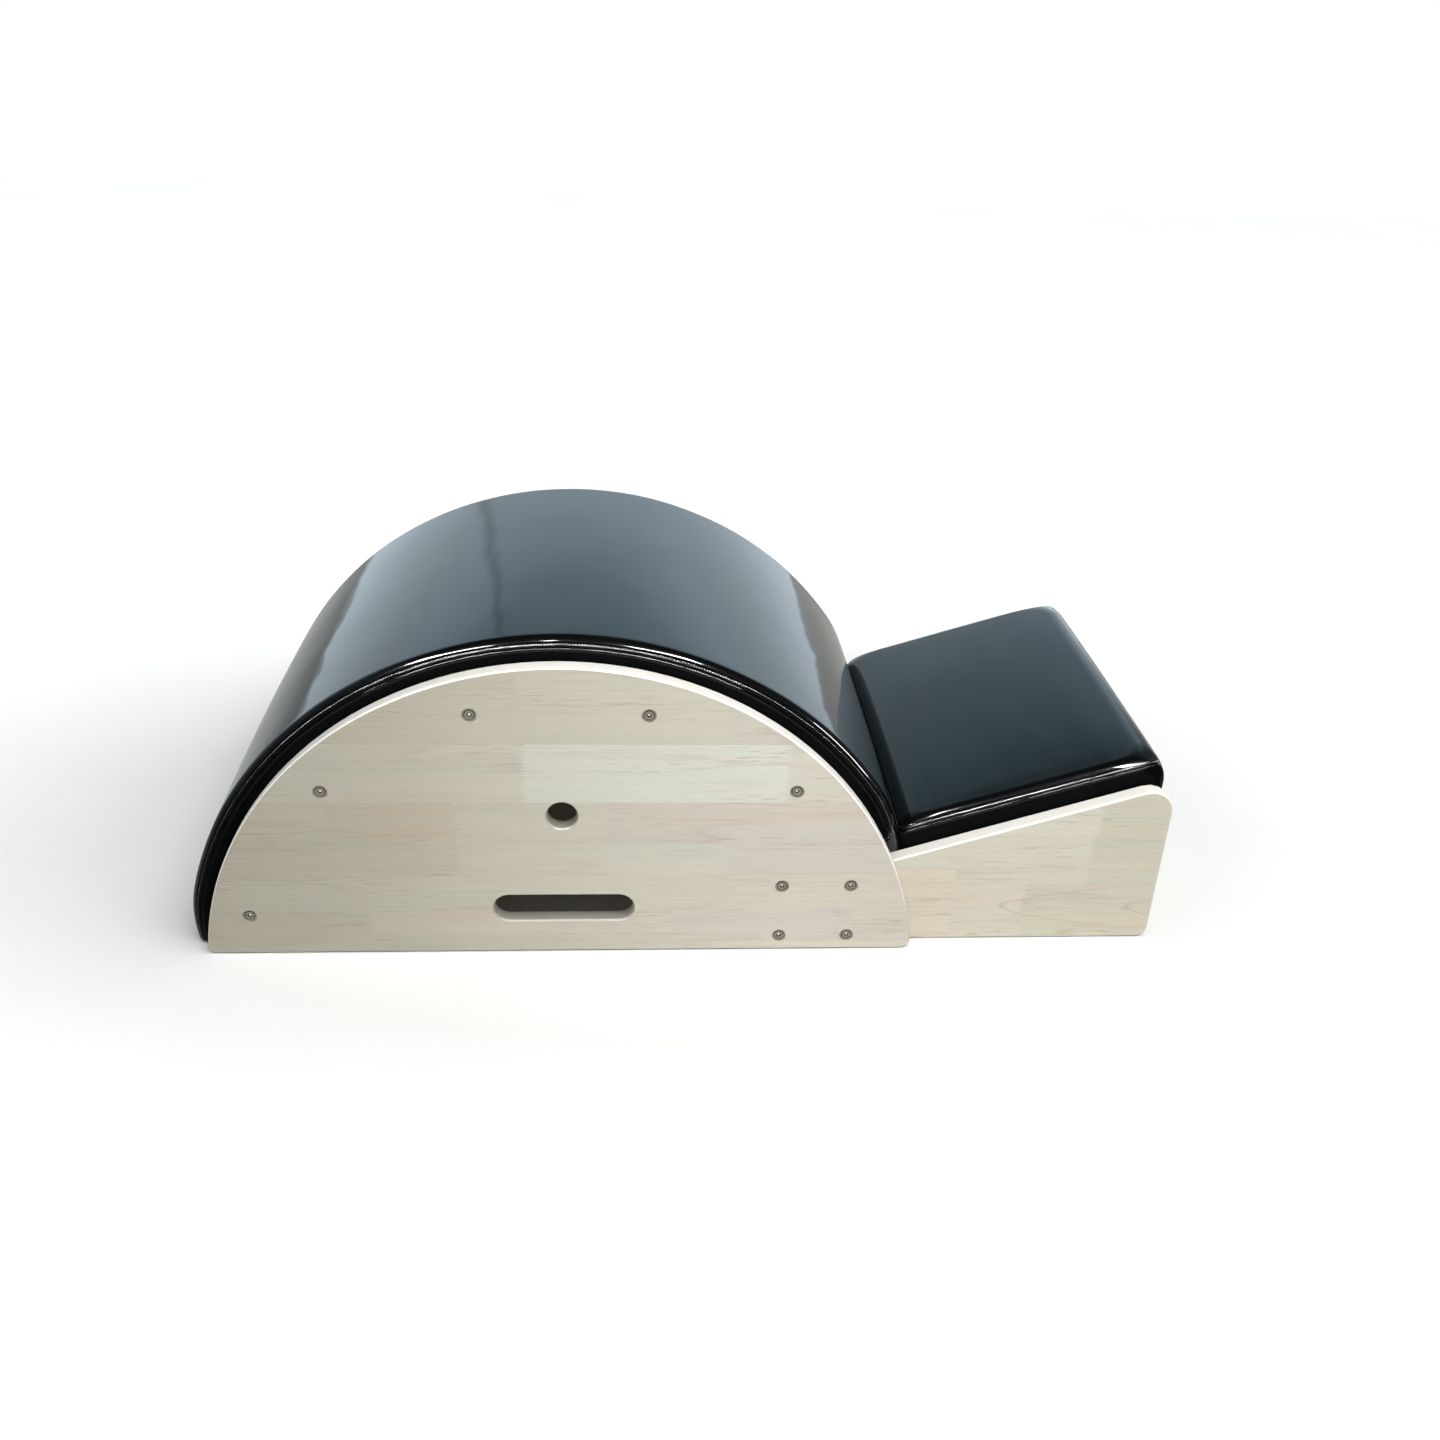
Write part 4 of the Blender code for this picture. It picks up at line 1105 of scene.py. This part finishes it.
def setting_out_tree():
    """Geometry nodes that set a copy of a piece on each point, standing along out and turned to ahead."""
    tree = bpy.data.node_groups.new("setting_out", "GeometryNodeTree")
    for name, kind in (("Points", "Geometry"), ("Piece", "Object"), ("Finish", "Material")):
        tree.interface.new_socket(name, in_out="INPUT", socket_type="NodeSocket" + kind)
    tree.interface.new_socket("Pieces", in_out="OUTPUT", socket_type="NodeSocketGeometry")
    given, result, turn, info, copies, real, coat = (
        tree.nodes.new(kind) for kind in (
            "NodeGroupInput", "NodeGroupOutput", "FunctionNodeAxesToRotation", "GeometryNodeObjectInfo",
            "GeometryNodeInstanceOnPoints", "GeometryNodeRealizeInstances", "GeometryNodeSetMaterial",
        )
    )
    turn.primary_axis, turn.secondary_axis = "Z", "X"
    for name, socket in (("out", "Primary Axis"), ("ahead", "Secondary Axis")):
        axis = tree.nodes.new("GeometryNodeInputNamedAttribute")
        axis.data_type = "FLOAT_VECTOR"
        axis.inputs["Name"].default_value = name
        tree.links.new(axis.outputs["Attribute"], turn.inputs[socket])
    wire(
        tree,
        (given.outputs["Points"], copies.inputs["Points"]),
        (given.outputs["Piece"], info.inputs["Object"]),
        (info.outputs["Geometry"], copies.inputs["Instance"]),
        (turn.outputs["Rotation"], copies.inputs["Rotation"]),
        (copies.outputs["Instances"], real.inputs["Geometry"]),
        (real.outputs["Geometry"], coat.inputs["Geometry"]),
        (given.outputs["Finish"], coat.inputs["Material"]),
        (coat.outputs["Geometry"], result.inputs["Pieces"]),
    )
    return tree


def set_out(name, piece, finish, points, outs, aheads):
    """Copies of a small piece on points, made by the setting-out nodes and kept as one plain mesh."""
    mesh = bpy.data.meshes.new(name)
    mesh.from_pydata([tuple(p) for p in points], [], [])
    for kind, values in (("out", outs), ("ahead", aheads)):
        attribute = mesh.attributes.new(kind, "FLOAT_VECTOR", "POINT")
        attribute.data.foreach_set("vector", np.ravel(values).astype(np.float32))
    places = in_scene(name, mesh)
    modifier = places.modifiers.new("setting_out", "NODES")
    modifier.node_group = setting_out
    given = {"Piece": piece, "Finish": finish}
    for item in setting_out.interface.items_tree:
        if item.in_out == "INPUT" and item.name in given:
            modifier[item.identifier] = given[item.name]
    graph = bpy.context.evaluated_depsgraph_get()
    copies = bpy.data.meshes.new_from_object(places.evaluated_get(graph))
    bpy.data.objects.remove(places)
    bpy.data.objects.remove(piece)
    return in_scene(name, copies)


def sew(name, line, finish):
    """A row of stitches round a pad, at an even pitch along its line."""
    points, normals = line
    reach = lengths_round(points)
    count = round(reach[-1] / STITCH_PITCH)
    places = reach[-1] * np.arange(count) / count

    def along(values):
        closed = np.concatenate([values, values[:1]])
        return np.stack([np.interp(places, reach, closed[:, axis]) for axis in range(3)], axis=1)

    spots, outs = along(points), along(normals)
    aheads = np.roll(spots, -1, axis=0) - np.roll(spots, 1, axis=0)
    made = set_out(name, stitch_bead(), finish, spots + outs * THREAD_RADIUS * THREAD_LIFT, outs, aheads)
    dress(made, finish, "leather")


def bolt_up(kind, finish):
    """A finer bolt in place of each of the model's bolts of one kind, with its socket turned anyhow."""
    nodes = [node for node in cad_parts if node.startswith(kind)]
    spots, outs, aheads = [], [], []
    for count, node in enumerate(nodes):
        low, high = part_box(node)
        side = math.copysign(1.0, low.y + high.y)
        spots.append(((low.x + high.x) / 2, side * (HALF - BOLT_SEAT), (low.z + high.z) / 2))
        outs.append((0.0, side, 0.0))
        angle = count * TURN_BETWEEN_BOLTS
        aheads.append((math.cos(angle), 0.0, math.sin(angle)))
    shank = high.y - low.y - HEAD_THICKNESS
    bolts = set_out(kind + "s", socket_bolt(shank), finish, spots, outs, aheads)
    dress(bolts, finish, "steel", *nodes)


# Studio: what the gloss sees is a drum of pale walls, a floor card and softboxes
WALL_RADIUS = 2.3
WALL_HEIGHT = 5.0
WALL_FOOT = -0.01
WALL_SIDES = 96

# Brightness of the walls: by degrees above the floor, and by bearing from behind the piece to the right.
# Both were set until the reflections on the pads looked like those in the photograph.
WALL_UPWARD = [
    (0.0, (0.45, 0.50, 0.54)), (0.8, (0.50, 0.56, 0.60)), (1.6, (1.10, 1.28, 1.42)),
    (19.0, (1.12, 1.34, 1.50)), (25.0, (1.22, 1.56, 1.80)), (29.0, (1.18, 1.54, 1.82)),
    (32.0, (1.02, 1.38, 1.62)), (35.0, (0.98, 1.40, 1.62)), (38.0, (0.88, 1.32, 1.52)),
    (42.0, (0.60, 0.95, 1.12)), (47.0, (0.16, 0.22, 0.25)), (52.0, (0.04, 0.05, 0.05)),
]
WALL_SIDEWISE = [
    (-180, 0.07), (-122, 0.08), (-79, 0.34), (-58, 0.50), (-43, 0.93), (-21.0, 0.93),
    (-20.0, 0.58), (-19.2, 0.58), (-18.4, 0.86), (7, 0.96), (36, 1.26), (41, 1.10),
    (50, 0.30), (60, 0.12), (79, 0.12), (122, 0.08), (180, 0.07),
]

# The floor as the gloss sees it: behind the piece by x, and a dark cloth in front of it
FLOOR_CARD = (3.2, 2.6)
FLOOR_BEHIND = [
    (-1.440, (0.27, 0.28, 0.28)), (-1.184, (0.30, 0.32, 0.32)), (-1.024, (0.36, 0.38, 0.38)),
    (-0.832, (0.43, 0.45, 0.44)), (-0.384, (0.44, 0.46, 0.45)), (0.160, (0.50, 0.51, 0.48)),
    (0.960, (0.54, 0.55, 0.52)),
]
FLOOR_REACH = 6.0
FLOOR_LEVEL = -0.0004
FLOOR_CLOTH = [(0.3, (0.055, 0.060, 0.060)), (0.7, (0.085, 0.090, 0.088))]
CLOTH_EDGE = (-0.30, -0.24)

# Lamps: place, aim, size and watts, and whether the lamp is there for the gloss or for matt surfaces
LAMPS = {
    "overhead": ((0.7, -1.0, 2.4), (0.0, 0.0, 0.1), (2.0, 1.4), 54.0, False),
    "softbox_left": ((-1.40, -1.20, 2.3), (-0.25, -0.20, 0.35), (1.25, 0.26), 340.0, True),
    "softbox_right": ((0.80, -1.20, 2.3), (0.0, -0.20, 0.35), (0.95, 0.26), 280.0, True),
    "softbox_middle": ((-0.34, -1.20, 2.3), (0.10, -0.20, 0.25), (0.13, 0.26), 32.0, True),
    "strip_right": ((2.15, -0.42, 0.85), (0.15, -0.24, 0.25), (0.14, 0.8), 42.0, True),
}
FILL_LIGHT = (0.975, 0.99, 1.0)
FILL_STRENGTH = 0.68


def surface(made, output):
    """Makes a shader's output the whole surface of a finish, in place of the usual one."""
    made.tree.nodes.remove(made.shader)
    made.tree.links.new(output, made.tree.nodes["Material Output"].inputs["Surface"])
    return made.material


def level_square(name, half_length, half_width, height):
    """A flat square about the origin, facing up."""
    signs = ((-1, -1), (1, -1), (1, 1), (-1, 1))
    corners = [(u * half_length, v * half_width, height) for u, v in signs]
    return mesh_object(name, np.array(corners), [(0, 1, 2, 3)])


def show_in_gloss_only(panel, made, colour):
    """A panel that glows in one colour pattern, and that only reflections see."""
    glow = made.add("ShaderNodeEmission", {"Color": colour, "Strength": 1.0})
    panel.data.materials.append(surface(made, glow))
    panel.visible_camera = False
    panel.visible_diffuse = False
    panel.visible_shadow = False
    panel.visible_transmission = False


def studio_walls():
    """The studio's walls and ceiling as a drum: light near the floor, dark above."""
    turns = [2 * math.pi * k / WALL_SIDES for k in range(WALL_SIDES)]
    ring = [(WALL_RADIUS * math.sin(a), WALL_RADIUS * math.cos(a)) for a in turns]
    points = [(x, y, z) for z in (WALL_FOOT, WALL_HEIGHT) for x, y in ring]
    after = [(k + 1) % WALL_SIDES for k in range(WALL_SIDES)]
    faces = [(k, after[k], WALL_SIDES + after[k], WALL_SIDES + k) for k in range(WALL_SIDES)]
    faces.append(tuple(range(WALL_SIDES, 2 * WALL_SIDES)))
    walls = mesh_object("studio_walls", np.array(points), faces)
    made = Finish("studio_walls")
    x, y, z = made.split(made.place)
    degree = math.radians(1.0)
    bearing = made.math("DIVIDE", made.math("ARCTAN2", x, y), degree)
    rise = made.math("DIVIDE", made.math("ARCTAN2", z, WALL_RADIUS), degree)
    clutter = made.noise(made.stretched(made.place, 14.0, 14.0, 3.0))
    drift = made.noise(made.stretched(made.place, 1.0, 1.0, 9.0))
    rise = made.plus(rise, made.ranged(clutter, 0.25, 0.75, -1.1, 1.1))
    bearing = made.plus(bearing, made.ranged(drift, 0.3, 0.7, -0.6, 0.6))
    upward = made.chart(rise, (0.0, 60.0), WALL_UPWARD)
    sidewise = made.chart(bearing, (-180.0, 180.0), [(at, (level,) * 3) for at, level in WALL_SIDEWISE])
    show_in_gloss_only(walls, made, made.toned(upward, sidewise))


def reflected_floor():
    """The floor as the gloss sees it: a dark cloth in front, and dim behind the piece and by its foot."""
    made = Finish("reflected_floor")
    x, y, _ = made.split(made.place)
    weave = made.noise(made.place, 3.0)
    length = made.plus(x, made.ranged(weave, 0.3, 0.7, -0.05, 0.05))
    behind = made.chart(length, (-1.6, 1.6), FLOOR_BEHIND)
    colour = made.mix(made.ranged(y, *CLOTH_EDGE), made.ramp(weave, FLOOR_CLOTH), behind)
    show_in_gloss_only(level_square("reflected_floor", *FLOOR_CARD, 0.0), made, colour)


def studio_floor():
    """The pale floor. Away from the piece it is as white to the camera as the world behind it."""
    made = Finish("pale_floor")
    clouds = made.noise(made.place, 1.5, detail=3)
    colour = made.ramp(clouds, [(0.3, (0.70, 0.71, 0.70)), (0.7, (0.74, 0.75, 0.74))])
    matt = made.add("ShaderNodeBsdfDiffuse", {"Color": colour})
    oval = made.stretched(made.place, 1.4, 2.4, 0.0)
    away = made.add("ShaderNodeVectorMath", {0: oval}, out="Value", operation="LENGTH")
    to_camera = made.add("ShaderNodeLightPath", out="Is Camera Ray")
    strength = made.times(to_camera, made.ranged(away, 1.0, 2.2, 0.0, 0.5))
    glow = made.add("ShaderNodeEmission", {"Color": (1, 1, 1), "Strength": strength})
    floor = level_square("studio_floor", FLOOR_REACH, FLOOR_REACH, FLOOR_LEVEL)
    floor.data.materials.append(surface(made, made.add("ShaderNodeAddShader", {0: matt, 1: glow})))


def studio_world():
    """White to the camera and in reflections past the walls, and a soft fill on matt surfaces."""
    world = bpy.data.worlds.new("studio")
    world.use_nodes = True
    tree = world.node_tree
    tree.nodes.clear()
    kinds = ("OutputWorld", "MixShader", "Background", "Background", "LightPath", "Math", "Math")
    out, mix, fill, white, path, seen, clear = (tree.nodes.new("ShaderNode" + kind) for kind in kinds)
    fill.inputs["Color"].default_value = (*FILL_LIGHT, 1)
    fill.inputs["Strength"].default_value = FILL_STRENGTH
    white.inputs["Color"].default_value = (1, 1, 1, 1)
    for node in (seen, clear):
        node.operation = "ADD"
        node.use_clamp = True
    wire(
        tree,
        (path.outputs["Is Camera Ray"], seen.inputs[0]),
        (path.outputs["Is Glossy Ray"], seen.inputs[1]),
        (seen.outputs[0], clear.inputs[0]),
        (path.outputs["Is Transmission Ray"], clear.inputs[1]),
        (clear.outputs[0], mix.inputs[0]),
        (fill.outputs[0], mix.inputs[1]),
        (white.outputs[0], mix.inputs[2]),
        (mix.outputs[0], out.inputs["Surface"]),
    )
    bpy.context.scene.world = world


def lamp(name, place, aim, size, watts, for_gloss):
    """A soft rectangular lamp. It lights matt surfaces, or it is there to be seen in the gloss."""
    light = bpy.data.lights.new(name, "AREA")
    light.shape = "RECTANGLE"
    light.size, light.size_y = size
    light.energy = watts
    made = in_scene(name, light)
    turn = (Vector(aim) - Vector(place)).to_track_quat("-Z", "Y").to_matrix().to_4x4()
    made.matrix_world = Matrix.Translation(place) @ turn
    made.visible_camera = False
    made.visible_glossy = for_gloss
    made.visible_diffuse = not for_gloss


look_through_camera()

barrel_pad, barrel_stitch_line = upholster(BARREL, COARSE_BARREL, FINE_BARREL)
step_pad, step_stitch_line = upholster(STEP, COARSE_STEP, FINE_STEP)

leather = gloss_leather("gloss_leather")
sewing_thread = thread("sewing_thread")
steel = zinc_plated("zinc_plated_steel")
finish_model(steel)
for made, pad in ((barrel_pad, BARREL), (step_pad, STEP)):
    dress(made, leather, "leather", *pad.nodes)

setting_out = setting_out_tree()
sew("barrel_pad_stitches", barrel_stitch_line, sewing_thread)
sew("step_pad_stitches", step_stitch_line, sewing_thread)
bolt_up("rail_bolt", steel)
bolt_up("step_bolt", steel)

studio_floor()
studio_walls()
reflected_floor()
studio_world()
for name, settings in LAMPS.items():
    lamp(name, *settings)
bpy.context.scene.view_settings.view_transform = "Standard"
